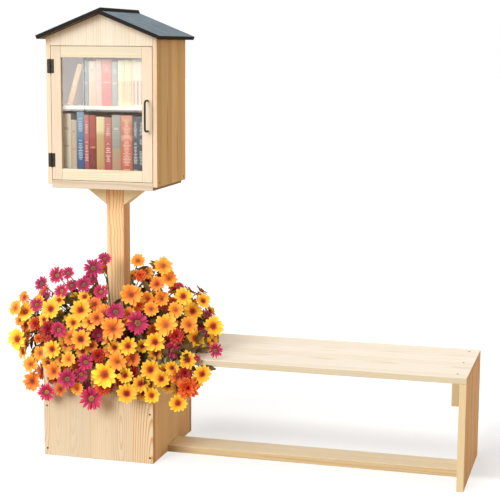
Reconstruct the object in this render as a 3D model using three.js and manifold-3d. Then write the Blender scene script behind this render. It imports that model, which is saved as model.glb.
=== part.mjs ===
// Street book exchange box: a glazed cabinet on a post that stands in a planter, with a bench
// carried by the planter and an end panel. Millimetres, +Z up, +X along the bench, +Y away from
// the front. The origin is on the ground under the post.
import * as THREE from 'three';
import { mergeVertices } from 'three/addons/utils/BufferGeometryUtils.js';
import Module from 'manifold-3d';

// Planter
const PLANTER_WIDTH = 465;
const PLANTER_DEPTH = 494;
const PLANTER_HEIGHT = 437;
const PANEL_THICKNESS = 27;
const BOTTOM_THICKNESS = 24;
const DRAIN_RADIUS = 9;
const DRAIN_SPACING = 260;
const DRAIN_SIDES = 12;
const SOIL_BELOW_RIM = 30;

// Bench
const BENCH_END = 1455;
const SEAT_THICKNESS = 24;
const CLEAT_HEIGHT = 86;
const STRETCHER_WIDTH = 140;
const STRETCHER_THICKNESS = 28;

// Post and braces
const POST_SIDE = 74;
const BRACE_REACH = 100;
const BRACE_DROP = 76;

// Cabinet; heights inside it are taken from the underside of its base board
const CABINET_Z = 1079;
const CABINET_WIDTH = 460;
const CABINET_DEPTH = 354;
const SIDE_THICKNESS = 18;
const SIDE_LIFT = 14;
const BASE_THICKNESS = 31;
const BACK_THICKNESS = 12;
const GABLE_THICKNESS = 18;
const SHELF_RISE = 280;
const SHELF_THICKNESS = 14;
const SHELF_SETBACK = 27;
const SHELF_HOUSING = 5;

// Roof
const ROOF_HALF_WIDTH = 257.5;
const EAVE_ABOVE_DOOR = 39;
const ROOF_RISE = 102;
const ROOF_OVERHANG = 39.5;
const ROOF_BOARD_THICKNESS = 12;
const FELT_THICKNESS = 3;
const LAP_GAP = 0.3;

// Door
const DOOR_HEIGHT = 525;
const DOOR_THICKNESS = 18;
const DOOR_GAP = 1.5;
const STILE_WIDTH = 42;
const RAIL_WIDTH = 44;
const PANE_THICKNESS = 3;
const GROOVE_PLAY = 0.4;
const GROOVE_DEPTH = 7;
const PANE_SIDE_PLAY = 1;

// Hinges
const HINGE_HEIGHT = 54;
const HINGE_INSET = 78;
const LEAF_REACH = 14;
const LEAF_THICKNESS = 2;
const KNUCKLE_STANDOFF = 3.5;
const KNUCKLE_RADIUS = 3.2;
const KNUCKLE_BORE_RADIUS = 1.6;
const KNUCKLE_GAP = 0.6;
const PIN_RADIUS = 1.5;
const PIN_HEAD_RADIUS = 2.5;
const PIN_HEAD_HEIGHT = 1.2;
const PIN_END_GAP = 0.3;
const LEAF_CLEARANCE = 0.5;
const ROUND_SIDES = 16;

// Handle, strike plate and magnetic catch
const HANDLE_SPAN = 118;
const HANDLE_RADIUS = 4;
const HANDLE_PROJECTION = 34;
const HANDLE_CORNER = 13;
const HANDLE_FROM_EDGE = 18.5;
const HANDLE_RISE = 292;
const HANDLE_SIDES = 10;
const HANDLE_STEPS = 22;
const STRIKE_WIDTH = 15;
const STRIKE_HEIGHT = 36;
const STRIKE_THICKNESS = 1.5;
const CATCH_GAP = 0.3;
const CATCH_DEPTH = 20;
const CATCH_HEIGHT = 42;
const CATCH_BELOW_SHELF = 45;

// Books: width, height, depth and gap to the next one, from left to right
const BOOK_SETBACK = 37;
const BOOK_SPINE_CURVE = 2.5;
const BOOK_GAP = 0.4;
const SPINE_STEPS = 4;
const LOWER_BOOKS_START = -182;
const LOWER_BOOKS = [
  ['book_lower_01', 37, 262, 172, 0xb3aa9c],
  ['book_lower_02', 24.6, 238, 160, 0xd8c3a2],
  ['book_lower_03', 31, 270, 182, 0x4a6f9f],
  ['book_lower_04', 20.9, 259, 176, 0xb8575a],
  ['book_lower_05', 29.6, 258, 180, 0x8d2f2d],
  ['book_lower_06', 34.7, 252, 170, 0xd0aa66],
  ['book_lower_07', 29.7, 250, 168, 0xbe6467],
  ['book_lower_08', 38.4, 260, 178, 0xa9a08b],
  ['book_lower_09', 47.3, 259, 184, 0xc97a64],
  ['book_lower_10', 50, 256, 186, 0x4b5666],
];
const UPPER_BOOKS_START = -91.3;
const UPPER_BOOKS = [
  ['book_upper_02', 24, 178, 126, 0x9fa7ad],
  ['book_upper_03', 31.6, 176, 124, 0xecd3b8],
  ['book_upper_04', 23.6, 181, 128, 0xefe0d6],
  ['book_upper_05', 41.4, 182, 130, 0xd98c86],
  ['book_upper_06', 24.4, 174, 122, 0xb9c2c4],
  ['book_upper_07', 27, 179, 128, 0xe9dcc0],
  ['book_upper_08', 32.4, 180, 126, 0xe6dcae],
  ['book_upper_09', 45, 183, 130, 0xcf9a9a],
];
const LEANING_BOOK = ['book_upper_01', 22, 165, 120, 0xcdb08d];
const LEAN_DEGREES = 16.5;
const LEAN_GAP = 0.3;

// Flowers: each head has its centre's X, Y and height above the planter's rim, and its radius
const STEM_RADIUS = 3.2;
const STEM_SIDES = 4;
const PETALS = 10;
const PETAL_THICKNESS = 5;
const NOTCH_SHARE = 0.66;
const CROWN_RADIUS = 62;
const CROWN_HEIGHT = 48;
const CROWN_SIDES = 9;
const HANGING_STEPS = 4;
const RISING_STEPS = 3;
const MOUND_CENTRE = [35, 0, 33];
const MOUND_REACH = [405, 335, 345];
const LEAST_LIFT_SHARE = 0.12;
const ARCH_RISE = 92;
const ARCH_DROP_SHARE = 0.62;
const ARCH_REACH_SHARE = 0.8;
const RISE_REACH_SHARE = 0.45;
const RISE_HEIGHT_SHARE = 0.6;
const ROOT_SPREAD_SHARE = 0.12;
const LEFT_CROWN = [-118, -92];
const RIGHT_CROWN = [128, -92];
const BACK_CROWN = [6, 140];
const LEFT_HEADS = [
  [-30, -193, 327, 36],
  [-197, -173, 287, 30],
  [-141, -194, 302, 22],
  [-288, -122, 239, 26],
  [-9, -132, 357, 28],
  [-49, -257, 271, 28],
  [-271, -212, 170, 28],
  [-135, -308, 95, 31],
  [-99, -316, -98, 39],
  [2, -316, -169, 45],
  [-196, -296, -163, 36],
  [-379, -165, 13, 45],
  [-168, -300, 15, 36],
  [-34, -330, 70, 39],
  [-350, -141, 123, 37],
  [-182, -276, 170, 38],
  [-42, -307, 180, 39],
  [-316, -180, -84, 33],
  [-322, -152, -162, 39],
  [-89, -321, -16, 29],
  [-14, -331, -20, 31],
  [-389, -157, 140, 31],
  [-144, -254, 241, 28],
];
const RIGHT_HEADS = [
  [30, -276, 250, 29],
  [103, -309, 181, 35],
  [191, -304, 142, 44],
  [317, -257, 32, 33],
  [480, -222, 35, 28],
  [258, -292, 69, 39],
  [64, -329, -65, 49],
  [133, -316, -129, 35],
  [239, -292, -42, 39],
  [243, -292, -145, 31],
  [449, -292, -45, 34],
  [428, -81, 100, 42],
  [387, -186, 69, 39],
  [351, -292, -167, 35],
  [158, -322, 53, 35],
  [333, -171, 231, 35],
  [391, -97, 202, 30],
  [152, -269, 244, 43],
  [87, -330, 102, 45],
  [292, -265, 133, 43],
  [237, -206, 281, 29],
  [227, -104, 336, 36],
  [130, -128, 355, 30],
  [319, -224, 186, 31],
  [235, -271, 194, 29],
  [134, -325, -27, 35],
  [30, -321, 156, 29],
  [392, -292, -104, 43],
  [85, -233, 298, 27],
  [194, -312, -78, 35],
  [84, -310, -171, 33],
];
const BACK_HEADS = [
  [-262, 176, 123, 37],
  [-128, 262, 159, 39],
  [18, 292, 195, 41],
  [156, 256, 173, 38],
  [292, 176, 153, 37],
  [-78, 188, 285, 34],
  [96, 196, 279, 36],
  [-316, 96, 63, 36],
  [362, 92, 123, 35],
  [60, 306, 43, 38],
  [-60, 318, -37, 36],
  [200, 290, 18, 37],
];

// Sizes worked out from the ones above
const HALF_PLANTER = PLANTER_WIDTH / 2;
const HALF_PLANTER_DEPTH = PLANTER_DEPTH / 2;
const HALF_POST = POST_SIDE / 2;
const SOIL_TOP = PLANTER_HEIGHT - SOIL_BELOW_RIM;
const SEAT_UNDERSIDE = PLANTER_HEIGHT - SEAT_THICKNESS;
const CLEAT_BOTTOM = SEAT_UNDERSIDE - CLEAT_HEIGHT;
const END_PANEL_INSIDE = BENCH_END - PANEL_THICKNESS;
const INNER_HALF = CABINET_WIDTH / 2 - SIDE_THICKNESS;
const FRONT = -CABINET_DEPTH / 2;
const BACK = CABINET_DEPTH / 2;
const BACK_FACE = BACK - BACK_THICKNESS;
const SHELF_Z = BASE_THICKNESS + SHELF_RISE;
const SHELF_TOP = SHELF_Z + SHELF_THICKNESS;
const SHELF_FRONT = FRONT + SHELF_SETBACK;
const DOOR_Z = BASE_THICKNESS + DOOR_GAP;
const DOOR_TOP = DOOR_Z + DOOR_HEIGHT;
const DOOR_WIDTH = 2 * (INNER_HALF - DOOR_GAP);
const GABLE_Z = DOOR_TOP + DOOR_GAP;
const DOOR_BACK = FRONT + DOOR_THICKNESS;
const EAVE_RISE = GABLE_Z + EAVE_ABOVE_DOOR;
const RIDGE_RISE = EAVE_RISE + ROOF_RISE;
const ROOF_PITCH = Math.atan(ROOF_RISE / ROOF_HALF_WIDTH);
const PANEL_DEPTH = FELT_THICKNESS + ROOF_BOARD_THICKNESS;
const BOARD_DROP = PANEL_DEPTH / Math.cos(ROOF_PITCH);
const ROOF_FRONT = FRONT - ROOF_OVERHANG;
const ROOF_BACK = BACK + ROOF_OVERHANG;
const HINGE_X = -INNER_HALF + DOOR_GAP / 2;
const HINGE_Y = FRONT - KNUCKLE_STANDOFF;
const DOOR_LEFT = DOOR_GAP / 2;
const DOOR_RIGHT = DOOR_LEFT + DOOR_WIDTH;
const DOOR_FACE = KNUCKLE_STANDOFF;
const DOOR_REAR = DOOR_FACE + DOOR_THICKNESS;
const DOOR_MIDDLE = DOOR_FACE + DOOR_THICKNESS / 2;
const PANE_LEFT = DOOR_LEFT + STILE_WIDTH - GROOVE_DEPTH;
const PANE_RIGHT = DOOR_RIGHT - STILE_WIDTH + GROOVE_DEPTH;
const PANE_BOTTOM = DOOR_Z + RAIL_WIDTH - GROOVE_DEPTH;
const PANE_TOP = DOOR_TOP - RAIL_WIDTH + GROOVE_DEPTH;
const KNUCKLE_HEIGHT = (HINGE_HEIGHT - 2 * KNUCKLE_GAP) / 3;
const LEAF_START = KNUCKLE_RADIUS + LEAF_CLEARANCE;
const WEB_START = (KNUCKLE_RADIUS + KNUCKLE_BORE_RADIUS) / 2;
const WEB_END = (LEAF_START + LEAF_REACH) / 2;
const BOOK_FRONT = FRONT + BOOK_SETBACK;
const CATCH_Z = SHELF_Z - CATCH_BELOW_SHELF;
const STRIKE_FACE = DOOR_BACK + STRIKE_THICKNESS;

// Colours
const PINE = 0xe9cfa4;
const POST_PINE = 0xdcae74;
const FELT = 0x5f6e76;
const BLACK = 0x1d1d1f;
const STEEL = 0xa9acad;
const CLEAR = 0xdfe9ea;
const EARTH = 0x4a3627;
const MAGENTA = 0xb0447a;
const ORANGE = 0xef8a35;
const YELLOW = 0xf0c235;
const ROUGHNESS = 0.7;
const METALNESS = 0.8;
const PANE_OPACITY = 0.35;

const METAL = { metalness: METALNESS };

const wasm = await Module();
wasm.setup();

// Turns a closed geometry into a solid that can be joined and cut
function solidOf(geometry) {
  const plain = geometry.clone();
  plain.deleteAttribute('normal');
  plain.deleteAttribute('uv');
  const merged = mergeVertices(plain);
  const corners = [];
  const index = merged.index.array;
  for (let i = 0; i < index.length; i += 3) {
    const [a, b, c] = [index[i], index[i + 1], index[i + 2]];
    if (a !== b && b !== c && c !== a) {
      corners.push(a, b, c);
    }
  }
  const vertProperties = merged.attributes.position.array;
  const triVerts = new Uint32Array(corners);
  return new wasm.Manifold(new wasm.Mesh({ numProp: 3, vertProperties, triVerts }));
}

function geometryOf(solid) {
  const mesh = solid.getMesh();
  const geometry = new THREE.BufferGeometry();
  geometry.setAttribute('position', new THREE.BufferAttribute(new Float32Array(mesh.vertProperties), 3));
  geometry.setIndex(new THREE.BufferAttribute(new Uint32Array(mesh.triVerts), 1));
  geometry.computeVertexNormals();
  return geometry;
}

// A box between two values on each axis, as geometry in place
function box(x, y, z) {
  const geometry = new THREE.BoxGeometry(x[1] - x[0], y[1] - y[0], z[1] - z[0]);
  return geometry.translate((x[0] + x[1]) / 2, (y[0] + y[1]) / 2, (z[0] + z[1]) / 2);
}

function shapeOf(points) {
  return new THREE.Shape(points.map(([a, b]) => new THREE.Vector2(a, b)));
}

function roundSection(radius, sides) {
  const points = [];
  for (let i = 0; i < sides; i += 1) {
    const angle = (2 * Math.PI * i) / sides;
    points.push([radius * Math.cos(angle), radius * Math.sin(angle)]);
  }
  return shapeOf(points);
}

// An outline in X and Z, as deep as the given span of Y
function profile(points, y) {
  const geometry = new THREE.ExtrudeGeometry(shapeOf(points), { depth: y[1] - y[0], bevelEnabled: false });
  return geometry.rotateX(Math.PI / 2).translate(0, y[1], 0);
}

function mesh(group, name, geometry, color, extra = {}) {
  const material = new THREE.MeshStandardMaterial({ color, roughness: ROUGHNESS, ...extra });
  material.name = name;
  const made = new THREE.Mesh(geometry, material);
  made.name = name;
  group.add(made);
  return made;
}

// A plain board: its geometry is centred and the mesh carries the place
function board(group, name, x, y, z, color = PINE) {
  const made = mesh(group, name, new THREE.BoxGeometry(x[1] - x[0], y[1] - y[0], z[1] - z[0]), color);
  made.position.set((x[0] + x[1]) / 2, (y[0] + y[1]) / 2, (z[0] + z[1]) / 2);
  return made;
}

function groupAt(parent, name, x, y, z) {
  const made = new THREE.Group();
  made.name = name;
  made.position.set(x, y, z);
  parent.add(made);
  return made;
}

const part = new THREE.Group();
part.name = 'street_book_exchange_box';

// Planter: front and back panels cover the ends of the side panels
const planter = groupAt(part, 'planter', 0, 0, 0);
const INSIDE_X = HALF_PLANTER - PANEL_THICKNESS;
const INSIDE_Y = HALF_PLANTER_DEPTH - PANEL_THICKNESS;
const FULL_X = [-HALF_PLANTER, HALF_PLANTER];
board(planter, 'planter_front', FULL_X, [-HALF_PLANTER_DEPTH, -INSIDE_Y], [0, PLANTER_HEIGHT]);
board(planter, 'planter_back', FULL_X, [INSIDE_Y, HALF_PLANTER_DEPTH], [0, PLANTER_HEIGHT]);
board(planter, 'planter_left', [-HALF_PLANTER, -INSIDE_X], [-INSIDE_Y, INSIDE_Y], [0, PLANTER_HEIGHT]);
board(planter, 'planter_right', [INSIDE_X, HALF_PLANTER], [-INSIDE_Y, INSIDE_Y], [0, PLANTER_HEIGHT]);

let bottom = solidOf(box([-INSIDE_X, INSIDE_X], [-INSIDE_Y, INSIDE_Y], [0, BOTTOM_THICKNESS]));
for (const x of [-DRAIN_SPACING / 2, DRAIN_SPACING / 2]) {
  for (const y of [-DRAIN_SPACING / 2, DRAIN_SPACING / 2]) {
    const drill = new THREE.CylinderGeometry(DRAIN_RADIUS, DRAIN_RADIUS, BOTTOM_THICKNESS * 2, DRAIN_SIDES);
    bottom = bottom.subtract(solidOf(drill.rotateX(Math.PI / 2).translate(x, y, BOTTOM_THICKNESS / 2)));
  }
}
mesh(planter, 'planter_bottom', geometryOf(bottom), PINE);

const postSpan = [-HALF_POST, HALF_POST];
const soil = solidOf(box([-INSIDE_X, INSIDE_X], [-INSIDE_Y, INSIDE_Y], [BOTTOM_THICKNESS, SOIL_TOP]));
const postHole = solidOf(box(postSpan, postSpan, [0, PLANTER_HEIGHT]));
mesh(planter, 'soil', geometryOf(soil.subtract(postHole)), EARTH);

// Flowers: stems rise from a low crown on the soil and arch over the rim to the hanging heads.
// Their group stands at the rim's height.
const bunch = groupAt(planter, 'flowers', 0, 0, PLANTER_HEIGHT);
function headDirection(place) {
  const away = place.map((value, i) => (value - MOUND_CENTRE[i]) / MOUND_REACH[i]);
  away[2] = Math.max(away[2], 0) + LEAST_LIFT_SHARE;
  return new THREE.Vector3(...away).normalize();
}

function flowerHead(place, radius) {
  const outline = [];
  for (let i = 0; i < PETALS * 2; i += 1) {
    const reach = i % 2 ? radius * NOTCH_SHARE : radius;
    const angle = (Math.PI * i) / PETALS;
    outline.push([reach * Math.cos(angle), reach * Math.sin(angle)]);
  }
  const options = { depth: PETAL_THICKNESS, bevelEnabled: false };
  const petals = new THREE.ExtrudeGeometry(shapeOf(outline), options);
  const turn = new THREE.Quaternion().setFromUnitVectors(new THREE.Vector3(0, 0, 1), headDirection(place));
  return solidOf(petals.applyQuaternion(turn).translate(...place));
}

function flowerStem(crown, place) {
  const [x, y, z] = place;
  const hangs = z < ARCH_RISE;
  const spread = (from, to, share) => from + (to - from) * share;
  const root = new THREE.Vector3(
    spread(crown[0], x, ROOT_SPREAD_SHARE),
    spread(crown[1], y, ROOT_SPREAD_SHARE),
    CROWN_HEIGHT / 2 - SOIL_BELOW_RIM,
  );
  const reach = hangs ? ARCH_REACH_SHARE : RISE_REACH_SHARE;
  const arch = ARCH_RISE + ARCH_DROP_SHARE * Math.max(-z, 0);
  const rise = spread(-SOIL_BELOW_RIM, z, RISE_HEIGHT_SHARE);
  const middle = new THREE.Vector3(
    spread(crown[0], x, reach),
    spread(crown[1], y, reach),
    hangs ? arch : rise,
  );
  const end = new THREE.Vector3(x, y, z).addScaledVector(headDirection(place), PETAL_THICKNESS / 2);
  const path = new THREE.QuadraticBezierCurve3(root, middle, end);
  const section = roundSection(STEM_RADIUS, STEM_SIDES);
  const steps = hangs ? HANGING_STEPS : RISING_STEPS;
  return solidOf(new THREE.ExtrudeGeometry(section, { steps, extrudePath: path, bevelEnabled: false }));
}

function flowers(name, crown, heads, color) {
  const dome = [[0, 0], [CROWN_RADIUS, 0], [CROWN_RADIUS / 2, CROWN_HEIGHT], [0, CROWN_HEIGHT]];
  const outline = dome.map(([a, b]) => new THREE.Vector2(a, b));
  const mound = new THREE.LatheGeometry(outline, CROWN_SIDES).rotateX(Math.PI / 2);
  let plant = solidOf(mound.translate(crown[0], crown[1], -SOIL_BELOW_RIM));
  for (const [x, y, z, radius] of heads) {
    plant = plant.add(flowerStem(crown, [x, y, z])).add(flowerHead([x, y, z], radius));
  }
  mesh(bunch, name, geometryOf(plant), color);
}
flowers('daisies_left', LEFT_CROWN, LEFT_HEADS, MAGENTA);
flowers('daisies_right', RIGHT_CROWN, RIGHT_HEADS, YELLOW);
flowers('daisies_back', BACK_CROWN, BACK_HEADS, ORANGE);

// Bench: the seat lies on the end panel and on cleats fixed to that panel and to the planter
const bench = groupAt(part, 'bench', HALF_PLANTER, 0, 0);
const BENCH_LENGTH = BENCH_END - HALF_PLANTER;
const PANEL_X = END_PANEL_INSIDE - HALF_PLANTER;
const FULL_Y = [-HALF_PLANTER_DEPTH, HALF_PLANTER_DEPTH];
const CLEAT_Z = [CLEAT_BOTTOM, SEAT_UNDERSIDE];
const STRETCHER_Y = [-STRETCHER_WIDTH / 2, STRETCHER_WIDTH / 2];
board(bench, 'seat_board', [0, BENCH_LENGTH], FULL_Y, [SEAT_UNDERSIDE, PLANTER_HEIGHT]);
board(bench, 'end_panel', [PANEL_X, BENCH_LENGTH], FULL_Y, [0, SEAT_UNDERSIDE]);
board(bench, 'cleat_at_end_panel', [PANEL_X - PANEL_THICKNESS, PANEL_X], FULL_Y, CLEAT_Z);
board(bench, 'cleat_at_planter', [0, PANEL_THICKNESS], FULL_Y, CLEAT_Z);
board(bench, 'stretcher', [0, PANEL_X], STRETCHER_Y, [0, STRETCHER_THICKNESS]);

// Post with a brace on each side under the cabinet
board(part, 'post', postSpan, postSpan, [BOTTOM_THICKNESS, CABINET_Z], POST_PINE);
for (const [name, side] of [['brace_left', -1], ['brace_right', 1]]) {
  const corner = side * HALF_POST;
  const outline = [[corner, 0], [corner, -BRACE_DROP], [corner + side * BRACE_REACH, 0]];
  const brace = mesh(part, name, profile(side < 0 ? outline.reverse() : outline, postSpan), PINE);
  brace.position.z = CABINET_Z;
}

// Cabinet carcass
const cabinet = groupAt(part, 'cabinet', 0, 0, CABINET_Z);
function roofLine(x, drop) {
  return RIDGE_RISE - Math.tan(ROOF_PITCH) * Math.abs(x) - drop;
}

board(cabinet, 'cabinet_base', [-INNER_HALF, INNER_HALF], [FRONT, BACK], [0, BASE_THICKNESS]);
board(cabinet, 'cabinet_shelf', [-INNER_HALF - SHELF_HOUSING, INNER_HALF + SHELF_HOUSING],
  [SHELF_FRONT, BACK_FACE], [SHELF_Z, SHELF_TOP]);

const housing = box([-INNER_HALF - SHELF_HOUSING, INNER_HALF + SHELF_HOUSING],
  [SHELF_FRONT, BACK_FACE], [SHELF_Z, SHELF_TOP]);
for (const [name, side] of [['cabinet_left_side', -1], ['cabinet_right_side', 1]]) {
  const inner = side * INNER_HALF;
  const outer = side * (CABINET_WIDTH / 2);
  const outline = [
    [inner, SIDE_LIFT],
    [outer, SIDE_LIFT],
    [outer, roofLine(outer, BOARD_DROP)],
    [inner, roofLine(inner, BOARD_DROP)],
  ];
  const sideBoard = solidOf(profile(outline, [FRONT, BACK])).subtract(solidOf(housing));
  mesh(cabinet, name, geometryOf(sideBoard), PINE);
}

function gable(name, z, y) {
  const outline = [
    [-INNER_HALF, z],
    [INNER_HALF, z],
    [INNER_HALF, roofLine(INNER_HALF, BOARD_DROP)],
    [0, roofLine(0, BOARD_DROP)],
    [-INNER_HALF, roofLine(INNER_HALF, BOARD_DROP)],
  ];
  mesh(cabinet, name, profile(outline, y), PINE);
}
gable('cabinet_front_gable', GABLE_Z, [FRONT, FRONT + GABLE_THICKNESS]);
gable('cabinet_back', BASE_THICKNESS, [BACK_FACE, BACK]);

// Roof: the left panel laps over the right one at the ridge; each is a board under wrapped felt
const roof = groupAt(cabinet, 'roof', 0, 0, 0);
const roofY = [ROOF_FRONT, ROOF_BACK];
const boardY = [ROOF_FRONT + FELT_THICKNESS, ROOF_BACK - FELT_THICKNESS];

// A point of a panel's section: so far up the slope from the eave and so far below the felt's face
function panelPoint(side, along, depth) {
  return [
    side * (ROOF_HALF_WIDTH - along * Math.cos(ROOF_PITCH) - depth * Math.sin(ROOF_PITCH)),
    EAVE_RISE + along * Math.sin(ROOF_PITCH) - depth * Math.cos(ROOF_PITCH),
  ];
}

const lapX = PANEL_DEPTH * Math.cos(2 * ROOF_PITCH) / (2 * Math.sin(ROOF_PITCH));
const lapLength = (ROOF_HALF_WIDTH + lapX) / Math.cos(ROOF_PITCH);

const leftPanel = [
  panelPoint(-1, 0, PANEL_DEPTH),
  panelPoint(-1, lapLength, PANEL_DEPTH),
  panelPoint(-1, lapLength, 0),
  panelPoint(-1, 0, 0),
];

// The right panel ends just under the underside of the left one
const endTopX = (PANEL_DEPTH + LAP_GAP) / (2 * Math.sin(ROOF_PITCH));
const endBaseX = LAP_GAP / (2 * Math.sin(ROOF_PITCH));
const rightPanel = [
  [endBaseX, roofLine(endBaseX, BOARD_DROP)],
  panelPoint(1, 0, PANEL_DEPTH),
  panelPoint(1, 0, 0),
  [endTopX, roofLine(endTopX, 0)],
];

// The space that a panel's felt leaves: it is open below and starts so far inside the felt's face
function underFelt(side, inset, end) {
  return solidOf(profile([
    panelPoint(side, inset, PANEL_DEPTH * 2),
    panelPoint(side, end, PANEL_DEPTH * 2),
    panelPoint(side, end, inset),
    panelPoint(side, inset, inset),
  ], boardY));
}

const boardInset = FELT_THICKNESS + LAP_GAP;
const leftBlock = solidOf(profile(leftPanel, roofY));
const leftHollow = underFelt(-1, FELT_THICKNESS, lapLength - FELT_THICKNESS);
const leftTimber = underFelt(-1, boardInset, lapLength - boardInset);
mesh(roof, 'roof_board_left', geometryOf(leftBlock.intersect(leftTimber)), PINE);
mesh(roof, 'roof_felt_left', geometryOf(leftBlock.subtract(leftHollow)), FELT);

const rightBlock = solidOf(profile(rightPanel, roofY));
const rightHollow = underFelt(1, FELT_THICKNESS, lapLength);
const rightTimber = underFelt(1, boardInset, lapLength);
mesh(roof, 'roof_board_right', geometryOf(rightBlock.intersect(rightTimber)), PINE);
mesh(roof, 'roof_felt_right', geometryOf(rightBlock.subtract(rightHollow)), FELT);

// Door: its group stands on the hinge axis, so the frame, pane, handle and plate turn with it
const door = groupAt(cabinet, 'door', HINGE_X, HINGE_Y, 0);
const doorY = [DOOR_FACE, DOOR_REAR];
const groove = solidOf(box(
  [PANE_LEFT - PANE_SIDE_PLAY, PANE_RIGHT + PANE_SIDE_PLAY],
  [DOOR_MIDDLE - (PANE_THICKNESS + GROOVE_PLAY) / 2, DOOR_MIDDLE + (PANE_THICKNESS + GROOVE_PLAY) / 2],
  [PANE_BOTTOM, PANE_TOP + PANE_SIDE_PLAY],
));
function framePiece(name, x, z) {
  mesh(door, name, geometryOf(solidOf(box(x, doorY, z)).subtract(groove)), PINE);
}
const railX = [DOOR_LEFT + STILE_WIDTH, DOOR_RIGHT - STILE_WIDTH];
framePiece('door_stile_hinge_side', [DOOR_LEFT, railX[0]], [DOOR_Z, DOOR_TOP]);
framePiece('door_stile_handle_side', [railX[1], DOOR_RIGHT], [DOOR_Z, DOOR_TOP]);
framePiece('door_rail_bottom', railX, [DOOR_Z, DOOR_Z + RAIL_WIDTH]);
framePiece('door_rail_top', railX, [DOOR_TOP - RAIL_WIDTH, DOOR_TOP]);
const paneY = [DOOR_MIDDLE - PANE_THICKNESS / 2, DOOR_MIDDLE + PANE_THICKNESS / 2];
const pane = board(door, 'door_pane', [PANE_LEFT, PANE_RIGHT], paneY, [PANE_BOTTOM, PANE_TOP], CLEAR);
pane.material.transparent = true;
pane.material.opacity = PANE_OPACITY;

// Handle: a round bar bent out from the stile and back to it
const HANDLE_X = DOOR_RIGHT - HANDLE_FROM_EDGE;
const handlePath = new THREE.CurvePath();
const barY = DOOR_FACE - HANDLE_PROJECTION;
const low = HANDLE_RISE - HANDLE_SPAN / 2;
const high = HANDLE_RISE + HANDLE_SPAN / 2;
const at = (y, z) => new THREE.Vector3(HANDLE_X, y, z);
handlePath.add(new THREE.LineCurve3(at(DOOR_FACE, low), at(barY + HANDLE_CORNER, low)));
handlePath.add(new THREE.QuadraticBezierCurve3(
  at(barY + HANDLE_CORNER, low), at(barY, low), at(barY, low + HANDLE_CORNER)));
handlePath.add(new THREE.LineCurve3(at(barY, low + HANDLE_CORNER), at(barY, high - HANDLE_CORNER)));
handlePath.add(new THREE.QuadraticBezierCurve3(
  at(barY, high - HANDLE_CORNER), at(barY, high), at(barY + HANDLE_CORNER, high)));
handlePath.add(new THREE.LineCurve3(at(barY + HANDLE_CORNER, high), at(DOOR_FACE, high)));
const barSection = roundSection(HANDLE_RADIUS, HANDLE_SIDES);
const barOptions = { steps: HANDLE_STEPS, extrudePath: handlePath, bevelEnabled: false };
mesh(door, 'door_handle', new THREE.ExtrudeGeometry(barSection, barOptions), BLACK, METAL);

// Magnetic catch: a steel plate behind the door meets a magnet block on the cabinet's side
const strikeX = [DOOR_RIGHT - STRIKE_WIDTH, DOOR_RIGHT];
const strikeZ = [CATCH_Z - STRIKE_HEIGHT / 2, CATCH_Z + STRIKE_HEIGHT / 2];
const catchZ = [CATCH_Z - CATCH_HEIGHT / 2, CATCH_Z + CATCH_HEIGHT / 2];
const catchY = [STRIKE_FACE + CATCH_GAP, STRIKE_FACE + CATCH_GAP + CATCH_DEPTH];
board(door, 'strike_plate', strikeX, [DOOR_REAR, DOOR_REAR + STRIKE_THICKNESS], strikeZ, STEEL);
board(cabinet, 'catch_magnet', [INNER_HALF - STRIKE_WIDTH, INNER_HALF], catchY, catchZ, BLACK);

// Hinges: the outer knuckles belong to the fixed leaf and the middle one to the door leaf
function hingeLeaf(knuckles, reach) {
  const side = Math.sign(reach);
  const span = (a, b) => (side > 0 ? [a, b] : [-b, -a]);
  const leafY = [KNUCKLE_STANDOFF - LEAF_THICKNESS, KNUCKLE_STANDOFF];
  let leaf = solidOf(box(span(LEAF_START, LEAF_REACH), leafY, [0, HINGE_HEIGHT]));
  const through = HINGE_HEIGHT * 2;
  const bore = new THREE.CylinderGeometry(KNUCKLE_BORE_RADIUS, KNUCKLE_BORE_RADIUS, through, ROUND_SIDES);
  for (const place of knuckles) {
    const z = place * (KNUCKLE_HEIGHT + KNUCKLE_GAP);
    const barrel = new THREE.CylinderGeometry(KNUCKLE_RADIUS, KNUCKLE_RADIUS, KNUCKLE_HEIGHT, ROUND_SIDES);
    leaf = leaf.add(solidOf(barrel.rotateX(Math.PI / 2).translate(0, 0, z + KNUCKLE_HEIGHT / 2)));
    leaf = leaf.add(solidOf(box(span(WEB_START, WEB_END), leafY, [z, z + KNUCKLE_HEIGHT])));
  }
  return geometryOf(leaf.subtract(solidOf(bore.rotateX(Math.PI / 2))));
}

const headGap = PIN_END_GAP + PIN_HEAD_HEIGHT;
const pinOutline = [
  [0, -headGap],
  [PIN_HEAD_RADIUS, -headGap],
  [PIN_HEAD_RADIUS, -PIN_END_GAP],
  [PIN_RADIUS, -PIN_END_GAP],
  [PIN_RADIUS, HINGE_HEIGHT + PIN_END_GAP],
  [PIN_HEAD_RADIUS, HINGE_HEIGHT + PIN_END_GAP],
  [PIN_HEAD_RADIUS, HINGE_HEIGHT + headGap],
  [0, HINGE_HEIGHT + headGap],
];
const hingeHeights = {
  lower: DOOR_Z + HINGE_INSET - HINGE_HEIGHT / 2,
  upper: DOOR_TOP - HINGE_INSET - HINGE_HEIGHT / 2,
};
for (const [place, z] of Object.entries(hingeHeights)) {
  const fixed = groupAt(cabinet, `hinge_${place}`, HINGE_X, HINGE_Y, z);
  mesh(fixed, `hinge_${place}_fixed_leaf`, hingeLeaf([0, 2], -LEAF_REACH), BLACK, METAL);
  const pin = new THREE.LatheGeometry(pinOutline.map(([a, b]) => new THREE.Vector2(a, b)), ROUND_SIDES);
  mesh(fixed, `hinge_${place}_pin`, pin.rotateX(Math.PI / 2), BLACK, METAL);
  const moving = mesh(door, `hinge_${place}_door_leaf`, hingeLeaf([1], LEAF_REACH), BLACK, METAL);
  moving.position.z = z;
}

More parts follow.
